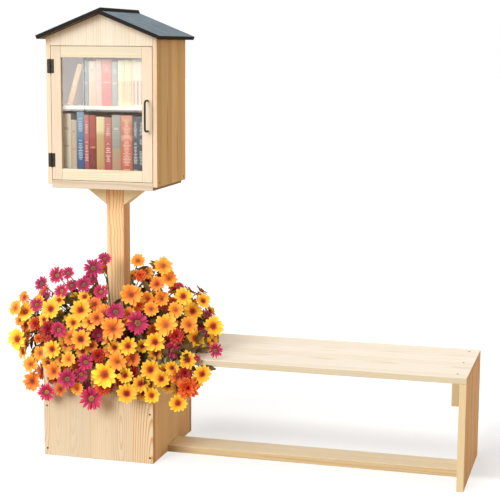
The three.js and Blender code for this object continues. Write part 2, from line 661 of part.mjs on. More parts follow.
// Books: a box with a slightly rounded spine
function bookGeometry(width, height, depth) {
  const outline = new THREE.Shape();
  outline.moveTo(0, depth);
  outline.lineTo(0, BOOK_SPINE_CURVE);
  outline.quadraticCurveTo(width / 2, -BOOK_SPINE_CURVE, width, BOOK_SPINE_CURVE);
  outline.lineTo(width, depth);
  const options = { depth: height, bevelEnabled: false, curveSegments: SPINE_STEPS };
  return new THREE.ExtrudeGeometry(outline, options);
}

function bookRow(books, start, z) {
  let x = start;
  for (const [name, width, height, depth, color] of books) {
    mesh(cabinet, name, bookGeometry(width, height, depth), color).position.set(x, BOOK_FRONT, z);
    x += width + BOOK_GAP;
  }
}
bookRow(LOWER_BOOKS, LOWER_BOOKS_START, BASE_THICKNESS);
bookRow(UPPER_BOOKS, UPPER_BOOKS_START, SHELF_TOP);

const [leanName, leanWidth, leanHeight, leanDepth, leanColor] = LEANING_BOOK;
const lean = THREE.MathUtils.degToRad(LEAN_DEGREES);
const leaning = mesh(cabinet, leanName, bookGeometry(leanWidth, leanHeight, leanDepth), leanColor);
const leanX = UPPER_BOOKS_START - LEAN_GAP - leanHeight * Math.sin(lean) - leanWidth * Math.cos(lean);
leaning.rotation.y = lean;
leaning.position.set(leanX, BOOK_FRONT, SHELF_TOP + LEAN_GAP + leanWidth * Math.sin(lean));

export default part;
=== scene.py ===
# %% [markdown]
# This lesson dresses a street book exchange box: a glazed cabinet on a post, a planter full of
# daisies round it, and a bench that leans on the planter. All sizes come from the CAD frame.

# %% Load the frame
import random
from functools import partial
from math import cos, hypot, pi, radians, sin, tau
import bmesh
import bpy
from mathutils import Matrix, Vector, noise


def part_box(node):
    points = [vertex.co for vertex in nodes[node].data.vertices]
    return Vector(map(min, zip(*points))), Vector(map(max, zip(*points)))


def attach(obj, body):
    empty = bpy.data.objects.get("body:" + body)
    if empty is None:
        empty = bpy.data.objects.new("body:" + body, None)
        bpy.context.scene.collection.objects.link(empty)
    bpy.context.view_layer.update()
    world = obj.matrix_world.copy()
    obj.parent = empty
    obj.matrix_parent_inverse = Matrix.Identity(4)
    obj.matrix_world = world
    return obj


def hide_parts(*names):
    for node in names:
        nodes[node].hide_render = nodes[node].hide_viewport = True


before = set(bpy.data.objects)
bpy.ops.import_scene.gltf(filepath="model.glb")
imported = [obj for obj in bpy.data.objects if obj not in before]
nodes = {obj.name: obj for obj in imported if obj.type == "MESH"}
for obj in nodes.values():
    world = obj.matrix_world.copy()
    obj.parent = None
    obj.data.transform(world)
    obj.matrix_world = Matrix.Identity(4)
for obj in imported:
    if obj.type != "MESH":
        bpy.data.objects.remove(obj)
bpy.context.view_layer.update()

# %% [markdown]
# The camera's place, angles and lens were solved from the edges of the boards in the
# photograph, so the render lines up with it.

# %% Place the camera
EYE = Vector((1.9732, -5.1636, 1.6491))
TURN, DIP, TILT = 0.2677, -0.1493, 0.0061
FOCAL_PIXELS, FRAME_WIDTH, FRAME_HEIGHT = 1359.94, 500, 497
SENSOR_WIDTH = 36

look = Vector((-sin(TURN) * cos(DIP), cos(TURN) * cos(DIP), sin(DIP)))
level = Vector((cos(TURN), sin(TURN), 0))
right = level * cos(TILT) + level.cross(look) * sin(TILT)
upward = right.cross(look)
lens = bpy.data.cameras.new("portrait_camera")
lens.sensor_width = SENSOR_WIDTH
lens.sensor_fit = "HORIZONTAL"
lens.lens = FOCAL_PIXELS / FRAME_WIDTH * SENSOR_WIDTH
camera = bpy.data.objects.new("portrait_camera", lens)
camera.matrix_world = Matrix.Translation(EYE) @ Matrix((right, upward, -look)).transposed().to_4x4()
bpy.context.scene.collection.objects.link(camera)
bpy.context.scene.camera = camera
print("lens", round(lens.lens, 1), "mm")

# %% [markdown]
# Colours are sRGB hex values. Shaders work in linear light, so one function converts them.
# Another adds a node with its settings, and the rest are short names for the commonest nodes.

# %% Small helpers
def linear(code, alpha=1.0):
    parts = [int(code[i:i + 2], 16) / 255 for i in (1, 3, 5)]
    return (*(p / 12.92 if p <= 0.04045 else ((p + 0.055) / 1.055) ** 2.4 for p in parts), alpha)


def feed(tree, socket, value):
    if isinstance(value, bpy.types.NodeSocket):
        tree.links.new(value, socket)
    else:
        socket.default_value = value


def add(tree, kind, inputs=None, **settings):
    made = tree.nodes.new(kind)
    for key, value in settings.items():
        setattr(made, key, value)
    for key, value in (inputs or {}).items():
        feed(tree, made.inputs[key], value)
    return made


def maths(tree, operation, *values):
    return add(tree, "ShaderNodeMath", dict(enumerate(values)), operation=operation).outputs[0]


def mixed(tree, factor, first, second):
    return add(tree, "ShaderNodeMix", {"Factor": factor, 6: first, 7: second}, data_type="RGBA").outputs[2]


def places(tree):
    return add(tree, "ShaderNodeTexCoord").outputs["Object"]


def axes_of(tree, vector):
    return add(tree, "ShaderNodeSeparateXYZ", {0: vector}).outputs


def joined(tree, *parts):
    return add(tree, "ShaderNodeCombineXYZ", dict(enumerate(parts))).outputs[0]


def clouds(tree, place, scale, detail=2, roughness=0.5):
    inputs = {"Vector": place, "Scale": scale, "Detail": detail, "Roughness": roughness}
    return add(tree, "ShaderNodeTexNoise", inputs).outputs[0]


def luck_of(tree, number):
    colour = add(tree, "ShaderNodeTexWhiteNoise", {"W": number}, noise_dimensions="1D").outputs["Color"]
    return add(tree, "ShaderNodeSeparateColor", {0: colour}).outputs


def carried(tree, name):
    return add(tree, "ShaderNodeAttribute", attribute_name=name).outputs["Fac"]


def ramp(tree, fac, stops):
    made = add(tree, "ShaderNodeValToRGB", {"Fac": fac})
    elements, stops = made.color_ramp.elements, stops.split(", ")
    while len(elements) < len(stops):
        elements.new(0.5)
    for element, stop in zip(elements, stops):
        place, code = stop.split()
        element.position, element.color = float(place), linear(code)
    return made.outputs["Color"]


def new_material(name, roughness, **shader_inputs):
    material = bpy.data.materials.new(name)
    material.use_nodes = True
    shader = material.node_tree.nodes["Principled BSDF"]
    for key, value in {"Roughness": roughness, **shader_inputs}.items():
        shader.inputs[key.replace("_", " ")].default_value = value
    return material, material.node_tree, shader


def dress(tree, shader, colour, height=None, strength=0.0, depth=0.0):
    feed(tree, shader.inputs["Base Color"], colour)
    if height is not None:
        relief = add(tree, "ShaderNodeBump", {"Strength": strength, "Distance": depth, "Height": height})
        tree.links.new(relief.outputs[0], shader.inputs["Normal"])


def mottled(name, roughness, scale, detail, tones, strength=0.0, depth=0.0, **shader_inputs):
    material, tree, shader = new_material(name, roughness, **shader_inputs)
    patches = clouds(tree, places(tree), scale, detail)
    dress(tree, shader, ramp(tree, patches, tones), patches if depth else None, strength, depth)
    return material


print("helpers ready")

# %% [markdown]
# The setting is a white paper floor under an even dim sky. A soft sun in front on the left makes
# fronts and tops bright. The sky, the floor and a low warm sun turn the shaded right-hand sides
# brown, and a weak sun lights the back. Soft boxes stand where the pane mirrors them: a stack of
# wide ones veils it, and two small ones wash out the upper bay. The suns are too broad to draw
# the bench's soft shade on the paper, so two faint patches of it are laid on.

# %% Floor, sky and light
FLOOR_RADIUS, FLOOR_SIDES, FLOOR_GLOW = 60, 96, 0.68
X, Y, Z = 0, 1, 2
# Each edge of a patch: its axis, and where on it the shade ends and is full, in metres
UNDER_BENCH = [(X, 0.05, 0.35), (X, 1.47, 1.4), (Y, 0.06, 0.32), (Y, 0.64, 0.34)]
PAST_BENCH = [(X, 1.4, 1.47), (X, 2.2, 1.5), (Y, -0.1, 0.0), (Y, 1.05, 0.25)]
scene = bpy.context.scene
scene.view_settings.view_transform = "Standard"
paper, tree, shader = new_material("white_paper_floor", 0.95)
shader.inputs["Emission Color"].default_value = linear("#ffffff")
paper_axes = axes_of(tree, places(tree))


def shade_patch(shade, edges):
    for axis, clear_at, full_at in edges:
        edge = add(tree, "ShaderNodeMapRange", {0: paper_axes[axis], 1: clear_at, 2: full_at},
                   interpolation_type="SMOOTHSTEP").outputs[0]
        shade = maths(tree, "MULTIPLY", shade, edge)
    return shade


def seen_or_thrown(tree, thrown, seen):
    is_seen = add(tree, "ShaderNodeLightPath").outputs["Is Camera Ray"]
    return is_seen, mixed(tree, is_seen, thrown, seen)


seen, tint = seen_or_thrown(tree, (0.44, 0.3, 0.18, 1), (0.35, 0.37, 0.39, 1))
shades = maths(tree, "ADD", shade_patch(-0.18, UNDER_BENCH), shade_patch(-0.2, PAST_BENCH))
glow = maths(tree, "MULTIPLY", seen, maths(tree, "ADD", shades, FLOOR_GLOW))
tree.links.new(glow, shader.inputs["Emission Strength"])
dress(tree, shader, tint)
floor_mesh = bpy.data.meshes.new("paper_floor")
rim = [Vector((cos(a), sin(a), 0)) * FLOOR_RADIUS
       for a in (i * tau / FLOOR_SIDES for i in range(FLOOR_SIDES))]
floor_mesh.from_pydata(rim, [], [list(range(FLOOR_SIDES))])
floor_mesh.materials.append(paper)
floor = bpy.data.objects.new("paper_floor", floor_mesh)
scene.collection.objects.link(floor)

world = bpy.data.worlds.new("even_sky")
world.use_nodes = True
_, tint = seen_or_thrown(world.node_tree, (0.38, 0.31, 0.25, 1), (1, 1, 1, 1))
world.node_tree.links.new(tint, world.node_tree.nodes["Background"].inputs["Color"])
scene.world = world


def lamp(name, kind, strength, tint, towards, back="Z"):
    data = bpy.data.lights.new(name, kind)
    data.energy, data.color = strength, tint
    made = bpy.data.objects.new(name, data)
    made.rotation_euler = Vector(towards).to_track_quat(back, "Y").to_euler()
    scene.collection.objects.link(made)
    return made


def soft_box(name, place, width, height, watts, tint="#ffffff"):
    box = lamp(name, "AREA", watts, linear(tint)[:3], (0, 1, 0), "-Z")
    box.data.shape = "RECTANGLE"
    box.data.size, box.data.size_y = width, height
    box.location = place
    box.visible_camera = False


def soft_sun(name, towards, strength, spread, tint):
    sun = lamp(name, "SUN", strength, tint, towards)
    sun.data.angle = radians(spread)
    return sun


soft_sun("key_sun", (-0.34, -0.84, 0.45), 2.4, 34, (1.0, 0.985, 0.96))
soft_sun("overhead_sun", (0.02, -0.12, 1.0), 1.5, 70, (1.0, 0.985, 0.97))
soft_sun("warm_fill_sun", (1.0, -0.12, 0.06), 1.05, 50, (1.0, 0.66, 0.42))
soft_sun("back_sun", (-0.4, 1.0, 0.1), 0.8, 40, (1.0, 0.97, 0.93)).visible_glossy = False
soft_box("glare_box", (-1.86, -5.15, 1.56), 0.5, 0.88, 5)
soft_box("side_glare_box", (-2.46, -5.15, 1.6), 0.68, 0.96, 13, "#f4ecec")
VEIL_TOP, VEIL_WIDTH, VEILS = 2.4, 2.6, 5
for step in range(VEILS):
    base = 0.9 + step * 0.08
    soft_box(f"veil_box_{step}", (-2.2, -5.3, (base + VEIL_TOP) / 2), VEIL_WIDTH, VEIL_TOP - base, 3.4)

# %% [markdown]
# Planed pine under clear varnish is pale, with amber rings and fine fibres along the board. The
# rings are circles round a pith behind the board that slopes a little, so a face shows tall
# arches. Wide boards are glued up from strips of other logs, so every strip gets its own pith,
# tone and strength of grain. Sawn ends drink the varnish and turn darker.

# %% Pine
PITH_REACH, SEAM_WIDTH = 0.07, 0.0005
ONE_YEAR = "0 #7a7a7a, 0.1 #141414, 0.5 #3a3a3a, 0.86 #f0f0f0, 1 #7a7a7a"


def pine(name, grain, strip, pale, dark, strength=0.55, ring=0.0075, slope=0.014, pith=0.03,
         seed=0.0, even=0.15, wavy=0.16, uneven=0.08, end="#c4935c"):
    material, tree, shader = new_material(name, 0.42)
    along, across, through = ("XYZ".index(axis) for axis in grain)
    axes = axes_of(tree, places(tree))
    calc = partial(maths, tree)
    scaled = partial(maths, tree, "MULTIPLY_ADD")
    strips = scaled(axes[across], 1 / strip, seed)
    luck = luck_of(tree, calc("FLOOR", strips))

    def stretched(share):
        return joined(tree, axes[across], axes[through], calc("MULTIPLY", axes[along], share))

    wander = scaled(clouds(tree, stretched(wavy), 9.0), 0.02, -0.01)
    off_centre = scaled(luck[0], -strip, wander)
    sideways = scaled(calc("FRACT", strips), strip, off_centre)
    sloping = scaled(axes[along], slope, axes[through])
    behind = calc("ADD", sloping, scaled(luck[1], 0.05, pith))
    spot = joined(tree, sideways, calc("PINGPONG", behind, PITH_REACH))
    radius = add(tree, "ShaderNodeVectorMath", {0: spot}, operation="LENGTH").outputs["Value"]
    late = ramp(tree, calc("FRACT", calc("MULTIPLY", radius, 1 / ring)), ONE_YEAR)
    strong = scaled(calc("POWER", luck[2], 1.6), strength * (1 - even), strength * even)
    fibres = clouds(tree, stretched(0.02), 210.0, 4.0)
    both = scaled(fibres, 0.42, calc("MULTIPLY", late, strong))
    toned = add(tree, "ShaderNodeHueSaturation", {
        "Color": ramp(tree, both, f"0.12 {pale}, 0.9 {dark}"),
        "Value": scaled(luck[0], uneven, 0.99 - uneven / 2),
        "Saturation": scaled(luck[1], 0.22, 0.9)}).outputs[0]
    seam = calc("LESS_THAN", calc("PINGPONG", strips, 0.5), SEAM_WIDTH / strip)
    seamed = mixed(tree, calc("MULTIPLY", seam, 0.4), toned, linear("#b98d5c"))
    facing = axes_of(tree, add(tree, "ShaderNodeTexCoord").outputs["Normal"])[along]
    sawn = calc("GREATER_THAN", calc("ABSOLUTE", facing), 0.8)
    ended = mixed(tree, calc("MULTIPLY", sawn, 0.75), seamed, linear(end))
    dress(tree, shader, ended, both, 0.2, 0.0004)
    tree.links.new(scaled(both, 0.18, 0.36), shader.inputs["Roughness"])
    return material


# Each look: the board's axes along, across and through the grain, the strips' width in metres,
# the pale and the dark wood, the strength of the rings, what else differs, and the boards
FINE = {"ring": 0.006}
PINES = [
    ("pine_upright_front", "ZXY", 0.088, "#ded5bc", "#c1935c", 0.85,
     {"ring": 0.009, "seed": 13.36, "slope": 0.12, "pith": 0.21}, "planter_front planter_back cabinet_back"),
    # A darker copy for the cabinet's shaded right side: painted shade, with strips of uneven tone
    ("pine_upright_side", "ZYX", 0.062, "#e3cd95", "#a9773b", 0.8, {"uneven": 0.3}, "cabinet_right_side"),
    ("pine_end_panel", "ZYX", 0.062, "#efd6ab", "#b37d48", 0.8, {"uneven": 0.2}, "end_panel"),
    # Paler, to make up for the flowers' shade on the planter's right side: painted light
    ("pine_planter_side", "ZYX", 0.062, "#fff0c3", "#f8a05e", 0.5, {}, "planter_right"),
    ("pine_left_side", "ZYX", 0.062, "#f1e5cf", "#dabd91", 0.4, {}, "cabinet_left_side planter_left"),
    ("pine_seat", "XYZ", 0.1, "#f5f4eb", "#dac39c", 0.5, {"slope": 0.03, "pith": -0.42},
     "seat_board cabinet_shelf planter_bottom"),
    ("pine_stretcher", "XYZ", 0.2, "#d8c69b", "#c09a68", 0.5, {}, "stretcher"),
    # Its sawn ends are made much darker: painted shade of the recess under the side boards
    ("pine_base", "XYZ", 0.3, "#d7d3c2", "#c19e7c", 0.6, {"end": "#6a4024"}, "cabinet_base"),
    ("pine_gable", "ZXY", 0.058, "#ebeadb", "#d6bb95", 0.34, {}, "cabinet_front_gable"),
    # Paler, to make up for the cabinet's shade over the braces: painted light
    ("pine_brace", "XZY", 0.4, "#fffcd8", "#ecd196", 0.34, FINE, "brace_left brace_right"),
    # The roof boards are near-black: painted shade under the eaves
    ("dark_stained_pine", "YXZ", 0.09, "#4a3b2f", "#33281f", 0.55, {}, "roof_board_left roof_board_right"),
    ("pine_cleat", "YZX", 0.2, "#cbd2bf", "#ad9f7a", 0.55, {"end": "#b59c6c"},
     "cleat_at_end_panel cleat_at_planter"),
    # Made paler, partly to make up for the flowers' shade on the post: painted light
    ("pine_post", "ZXY", 0.6, "#ffe9bc", "#e09562", 0.7,
     {"ring": 0.0105, "slope": 0.02, "pith": 0.012, "seed": 9.583, "even": 0.9, "wavy": 1.4}, "post"),
    ("pine_rail", "XZY", 0.4, "#e4e3d1", "#cdb98f", 0.34, FINE, "door_rail_bottom door_rail_top"),
    ("pine_stile", "ZXY", 0.4, "#e5ddcb", "#cfb48b", 0.34, FINE,
     "door_stile_hinge_side door_stile_handle_side"),
]
# A face painted in another tone, for the light that falls on it: its board, axis and direction
PAINTED_LIGHT_AND_SHADE_FACES = [
    # Cream front edges and a paler stretcher top are painted light; the darker seat edge and post side are
    # painted shade
    ("pine_side_edge", "ZYX", 0.4, "#e8d7be", "#d3b184", 0.3, FINE, "cabinet_right_side", Y, -1),
    ("pine_seat_edge", "XZY", 0.4, "#d4d1bc", "#c0a880", 0.5, FINE, "seat_board", Y, -1),
    ("pine_leg_edge", "ZXY", 0.2, "#d9cca6", "#bfa070", 0.4, {}, "end_panel", Y, -1),
    ("pine_post_side", "ZYX", 0.6, "#eac294", "#c87a44", 0.6, {"ring": 0.0105}, "post", X, 1),
    ("pine_stretcher_top", "XYZ", 0.2, "#fffbdf", "#f6d6a8", 0.4, {}, "stretcher", Z, 1),
]
pines = {name: pine(name, *look_of, **more) for name, *look_of, more, _ in PINES}
pines |= {name: pine(name, *look_of, **more) for name, *look_of, more, _, _, _ in PAINTED_LIGHT_AND_SHADE_FACES}
print("pine materials:", len(pines))

# %% [markdown]
# A sawn board's arrises are eased with sandpaper, and they catch the light. Each board is copied
# from the frame, its triangles are merged into flat faces, and a narrow bevel rounds the edges.
# The copy then stands for the CAD node.

# %% Ease the boards' edges
def saved(form, mesh):
    form.to_mesh(mesh)
    form.free()
    return mesh


def copied_mesh(node):
    mesh = nodes[node].data.copy()
    form = bmesh.new()
    form.from_mesh(mesh)
    bmesh.ops.remove_doubles(form, verts=form.verts, dist=1e-5)
    bmesh.ops.dissolve_limit(form, angle_limit=radians(1), verts=form.verts, edges=form.edges)
    return saved(form, mesh)


def evaluated_mesh(thing):
    bpy.context.view_layer.update()
    depsgraph = bpy.context.evaluated_depsgraph_get()
    return bpy.data.meshes.new_from_object(thing.evaluated_get(depsgraph))


def piece_from(name, mesh, materials, node=None, body="stand"):
    piece = bpy.data.objects.new(name, mesh)
    mesh.materials.clear()
    for material in materials:
        mesh.materials.append(material)
    scene.collection.objects.link(piece)
    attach(piece, body)
    if node:
        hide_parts(node)
    return piece


def eased(node, material, width=0.0016, body="stand", slot="pine_boards"):
    piece = piece_from(node + "_eased", copied_mesh(node), [material], node, body)
    bevel = piece.modifiers.new("eased_arris", "BEVEL")
    bevel.width, bevel.segments, bevel.limit_method = width, 2, "ANGLE"
    bevel.angle_limit = radians(25)
    bevel.harden_normals = True
    mesh = evaluated_mesh(piece)
    piece.modifiers.clear()
    piece.data = mesh


POST_SETTINGS = {"width": 0.003, "slot": "pine_post"}
for name, *_, boards in PINES:
    for node in boards.split():
        body = "door" if node.startswith("door_") else "stand"
        eased(node, pines[name], body=body, **(POST_SETTINGS if node == "post" else {}))

FACES_THE_WAY = 0.8
# Faces that point the listed way take the painted light and shade tones
for name, *_, node, axis, way in PAINTED_LIGHT_AND_SHADE_FACES:
    mesh = bpy.data.objects[node + "_eased"].data
    mesh.materials.append(pines[name])
    for face in mesh.polygons:
        if face.normal[axis] * way > FACES_THE_WAY:
            face.material_index = len(mesh.materials) - 1

# %% [markdown]
# Mineral roofing felt is bitumen sheet rolled in slate chips: a rough blue-grey face, and bare
# black bitumen at the folded edges. The left panel laps over the right one, so its black end
# stands up along the ridge. The chips are drawn 2 mm wide.

# %% Roofing felt
felt, tree, shader = new_material("mineral_roofing_felt", 0.85)
place = add(tree, "ShaderNodeTexCoord").outputs
chips = add(tree, "ShaderNodeTexVoronoi", {"Vector": place["Object"], "Scale": 520.0}).outputs
chip_tone = add(tree, "ShaderNodeSeparateColor", {0: chips["Color"]}).outputs[0]
weather = maths(tree, "MULTIPLY", clouds(tree, place["Object"], 14.0, 4.0), 0.55)
slate = ramp(tree, maths(tree, "MULTIPLY_ADD", chip_tone, 0.45, weather),
             "0.1 #4d6070, 0.5 #697f91, 0.95 #96a9b7")
is_top = maths(tree, "GREATER_THAN", axes_of(tree, place["Normal"])[Z], 0.85)
dress(tree, shader, mixed(tree, is_top, linear("#0c0f13"), slate), chips["Distance"], 0.5, 0.0007)
for side in ("left", "right"):
    eased("roof_felt_" + side, felt, 0.0012, slot="roof_felt")
print("roof dressed")

# %% [markdown]
# Hinges and handle are steel with a satin black powder coat, which leaves faint dimples. The
# handle is a round bar, so a smooth sweep replaces the faceted one of the frame.

# %% Black powder coat
powder = mottled("black_powder_coat", 0.36, 900, 1, "0 #17171a, 1 #17171a", 0.25, 0.0002)
for height in ("lower", "upper"):
    for part, body in (("fixed_leaf", "stand"), ("pin", "stand"), ("door_leaf", "door")):
        eased(f"hinge_{height}_{part}", powder, 0.0004, body, "black_metal")


def swept_bar(name, points, radius, sides=16):
    curve = bpy.data.curves.new(name, "CURVE")
    curve.dimensions = "3D"
    curve.bevel_depth = radius
    curve.bevel_resolution = sides // 4
    curve.use_fill_caps = True
    spline = curve.splines.new("POLY")
    spline.points.add(len(points) - 1)
    for point, place in zip(spline.points, points):
        point.co = (*place, 1)
    bar = bpy.data.objects.new(name, curve)
    scene.collection.objects.link(bar)
    mesh = evaluated_mesh(bar)
    bpy.data.objects.remove(bar)
    mesh.shade_smooth()
    return mesh


BAR_RADIUS, CORNER, BEND_STEPS = 0.004, 0.013, 8
low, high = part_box("door_handle")
grip_x, grip_y = (low.x + high.x) / 2, low.y + BAR_RADIUS
z0, z1 = low.z + BAR_RADIUS, high.z - BAR_RADIUS
bend = [i * pi / 2 / BEND_STEPS for i in range(BEND_STEPS + 1)]
path = [(grip_x, high.y, z0)]
path += [(grip_x, grip_y + CORNER * (1 - sin(a)), z0 + CORNER * (1 - cos(a))) for a in bend]
path += [(grip_x, grip_y + CORNER * (1 - cos(a)), z1 - CORNER * (1 - sin(a))) for a in bend]
path += [(grip_x, high.y, z1)]
piece_from("door_handle_bar", swept_bar("door_handle_bar", path, BAR_RADIUS), [powder],
           "door_handle", "door")
print("handle is", round((z1 - z0) * 1000), "mm between its legs")

# %% [markdown]
# The pane is clear float glass. Light that only passes through goes straight on, so the books
# behind are lit, while the eye still sees the reflection on its face. The catch is black
# plastic, its plate bright zinc, and the wood screws are dull with age.

# %% Glass, catch and steel
glass, tree, shader = new_material("float_glass", 0.0, Transmission_Weight=1.0, IOR=1.5)
dress(tree, shader, linear("#f6fbfa"))
rays = add(tree, "ShaderNodeLightPath").outputs
passing = maths(tree, "MAXIMUM", rays["Is Shadow Ray"], rays["Is Diffuse Ray"])
clear = add(tree, "ShaderNodeBsdfTransparent", {"Color": linear("#f4f8f7")}).outputs[0]
pane_mix = add(tree, "ShaderNodeMixShader", {0: passing, 1: shader.outputs[0], 2: clear})
tree.links.new(pane_mix.outputs[0], tree.nodes["Material Output"].inputs["Surface"])
eased("door_pane", glass, 0.0004, "door", "glazing")

plastic = mottled("black_moulded_plastic", 0.5, 700, 2, "0 #1b1b1d, 1 #1b1b1d", 0.15, 0.0002)
eased("catch_magnet", plastic, 0.0012, slot="black_plastic")
worn_steel = mottled("worn_screw_steel", 0.5, 500, 2, "0.3 #4b4741, 0.7 #7d776e", Metallic=1.0)
zinc = mottled("zinc_plated_steel", 0.34, 260, 2, "0.3 #9a9c9d, 0.7 #c4c6c7", Metallic=1.0)
eased("strike_plate", zinc, 0.0003, "door", "zinc_steel")
print("pane and catch dressed")

# %% [markdown]
# Geometry Nodes set a small shape on many points: screws, flower eyes and leaves all use the
# tree below. Each point carries the way it faces, its spin and its size, and the result is
# kept as a plain mesh.

# %% A tree that sets shapes on points
def new_tree(name, **sockets):
    tree = bpy.data.node_groups.new(name, "GeometryNodeTree")
    for label, kind in {"Geometry": "Geometry", **sockets}.items():
        tree.interface.new_socket(name=label, in_out="INPUT", socket_type="NodeSocket" + kind)
    tree.interface.new_socket(name="Geometry", in_out="OUTPUT", socket_type="NodeSocketGeometry")
    return tree, add(tree, "NodeGroupInput").outputs


def named(tree, name, kind="FLOAT"):
    found = add(tree, "GeometryNodeInputNamedAttribute", {"Name": name}, data_type=kind)
    return found.outputs["Attribute"]


def set_on_points(tree, points, shape, turned, size):
    facing = named(tree, "facing", "FLOAT_VECTOR")
    upright = add(tree, "FunctionNodeAlignRotationToVector", {"Vector": facing}, axis="Z").outputs[0]
    rotation = add(tree, "FunctionNodeRotateRotation", {0: upright, 1: turned}, rotation_space="LOCAL")
    form = add(tree, "GeometryNodeObjectInfo", {"Object": shape}).outputs["Geometry"]
    inputs = {"Points": points, "Instance": form, "Rotation": rotation.outputs[0], "Scale": size}
    return add(tree, "GeometryNodeInstanceOnPoints", inputs).outputs[0]


def end_tree(tree, geometry, material):
    real = add(tree, "GeometryNodeRealizeInstances", {0: geometry}).outputs[0]
    done = add(tree, "GeometryNodeSetMaterial", {"Geometry": real, "Material": material}).outputs[0]
    add(tree, "NodeGroupOutput", {0: done})


shapes_on_points, given = new_tree("shapes_on_points", Shape="Object", Finish="Material")
spin = joined(shapes_on_points, 0.0, 0.0, named(shapes_on_points, "spin"))
size = named(shapes_on_points, "size")
placed = set_on_points(shapes_on_points, given["Geometry"], given["Shape"], spin, size)
end_tree(shapes_on_points, placed, given["Finish"])


def number_points(mesh, label, numbers):
    values = mesh.attributes.new(label, "FLOAT", "POINT").data
    for value, number in zip(values, numbers):
        value.value = number


def points_mesh(name, points):
    mesh = bpy.data.meshes.new(name)
    mesh.from_pydata([p["at"] for p in points], [], [])
    ways = mesh.attributes.new("facing", "FLOAT_VECTOR", "POINT").data
    for value, point in zip(ways, points):
        value.vector = point["facing"]
    for label in ("spin", "size", "shade"):
        number_points(mesh, label, [p.get(label, 0.0) for p in points])
    return mesh


def grown(name, tree, base, **inputs):
    seedling = bpy.data.objects.new(name + "_seed", base)
    scene.collection.objects.link(seedling)
    modifier = seedling.modifiers.new("grow", "NODES")
    modifier.node_group = tree
    for item in tree.interface.items_tree:
        if item.in_out == "INPUT" and item.name in inputs:
            modifier[item.identifier] = inputs[item.name]
    mesh = evaluated_mesh(seedling)
    bpy.data.objects.remove(seedling)
    return mesh


print("tree inputs:", [i.name for i in shapes_on_points.interface.items_tree])

# %% [markdown]
# Screws show at the planter's corners, the seat's end, the cabinet's sides and the hinges. One
# head is made with a cross slot, then set on every point that has a screw.

# %% Screws
HEAD_RADIUS, HEAD_HEIGHT, HEAD_SIDES, SLOT_DEPTH = 0.0042, 0.0008, 24, 0.0004
HEAD_RINGS = [(HEAD_RADIUS, 0.0), (HEAD_RADIUS * 0.96, 0.0005), (HEAD_RADIUS * 0.8, HEAD_HEIGHT)]


def wall(form, lower, upper):
    corners = zip(lower, lower[1:] + lower[:1], upper[1:] + upper[:1], upper)
    return [form.faces.new(four) for four in corners]


def screw_head():
    form = bmesh.new()
    turns = [i * tau / HEAD_SIDES for i in range(HEAD_SIDES)]
    rings = [[form.verts.new((r * cos(a), r * sin(a), z)) for a in turns] for r, z in HEAD_RINGS]
    for inner, outer in zip(rings, rings[1:]):
        wall(form, inner, outer)
    arm, half = HEAD_RADIUS * 0.56, HEAD_RADIUS * 0.14
    quarter, cross = [(half, half), (arm, half), (arm, -half)], []
    for _ in range(4):
        cross += quarter
        quarter = [(y, -x) for x, y in quarter]
    top = [form.verts.new((x, y, HEAD_HEIGHT)) for x, y in cross]
    base = [form.verts.new((x * 0.6, y * 0.6, -SLOT_DEPTH)) for x, y in cross]
    edges = [form.edges.new(pair) for pair in zip(top, top[1:] + top[:1])]
    edges += [form.edges.get(pair) for pair in zip(rings[-1], rings[-1][1:] + rings[-1][:1])]
    bmesh.ops.triangle_fill(form, use_beauty=True, edges=edges)
    wall(form, base, top)
    form.faces.new(base)
    form.faces.new(rings[0][::-1])
    bmesh.ops.recalc_face_normals(form, faces=form.faces)
    return saved(form, bpy.data.meshes.new("screw_head"))


def set_screws(name, rows, finish, body="stand"):
    points = [dict(zip(("at", "facing", "spin", "size"), row)) for row in rows]
    mesh = grown(name, shapes_on_points, points_mesh("screw_points", points), Shape=head, Finish=finish)
    piece_from(name, mesh, [finish], body=body)


FRONT, BACK, UP, RIGHT, LEFT = (0, -1, 0), (0, 1, 0), (0, 0, 1), (1, 0, 0), (-1, 0, 0)
EDGE_INSET, SEAT_INSET, HINGE_INSET, PROUD = 0.0135, 0.0405, 0.0052, 0.0001
head = bpy.data.objects.new("screw_head", screw_head())
p_low, p_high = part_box("planter_front")
s_low, s_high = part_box("seat_board")
c_low, c_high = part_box("cabinet_right_side")
left_x, right_x, front_y = p_low.x + EDGE_INSET, p_high.x - EDGE_INSET, p_low.y - PROUD
cabinet_left, base_z = c_low.x - 0.4421, c_low.z + 0.017
fixings = []
for z in (0.028, 0.205, 0.38):
    fixings.append(((left_x, front_y, z), FRONT, z * 9, 1))
    fixings.append(((right_x, front_y, z - 0.004), FRONT, z * 23, 1))
for y in (-0.19, 0.0, 0.2):
    fixings.append(((s_high.x - SEAT_INSET, y, s_high.z + PROUD), UP, y * 11, 1))
for y in (-0.15, 0.15):
    fixings.append(((c_high.x + PROUD, y, base_z), RIGHT, y * 17, 0.8))
    fixings.append(((cabinet_left, y, base_z), LEFT, y * 17, 0.8))
for z in (0.03, 0.2, 0.38):
    fixings += [((x, -front_y, z), BACK, z * 31, 1) for x in (left_x, right_x)]
set_screws("wood_screws", fixings, worn_steel)

hinge_screws = {"stand": [], "door": []}
for height in ("lower", "upper"):
    for part, body in (("fixed_leaf", "stand"), ("door_leaf", "door")):
        low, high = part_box(f"hinge_{height}_{part}")
        x = low.x + HINGE_INSET if body == "stand" else high.x - HINGE_INSET
        for share in (0.18, 0.82):
            at = (x, high.y - 0.0021, low.z + (high.z - low.z) * share)
            hinge_screws[body].append((at, FRONT, share * 7, 0.62))
for body, rows in hinge_screws.items():
    set_screws("hinge_screws_" + body, rows, powder, body)
print("screws:", len(fixings) + sum(map(len, hinge_screws.values())))

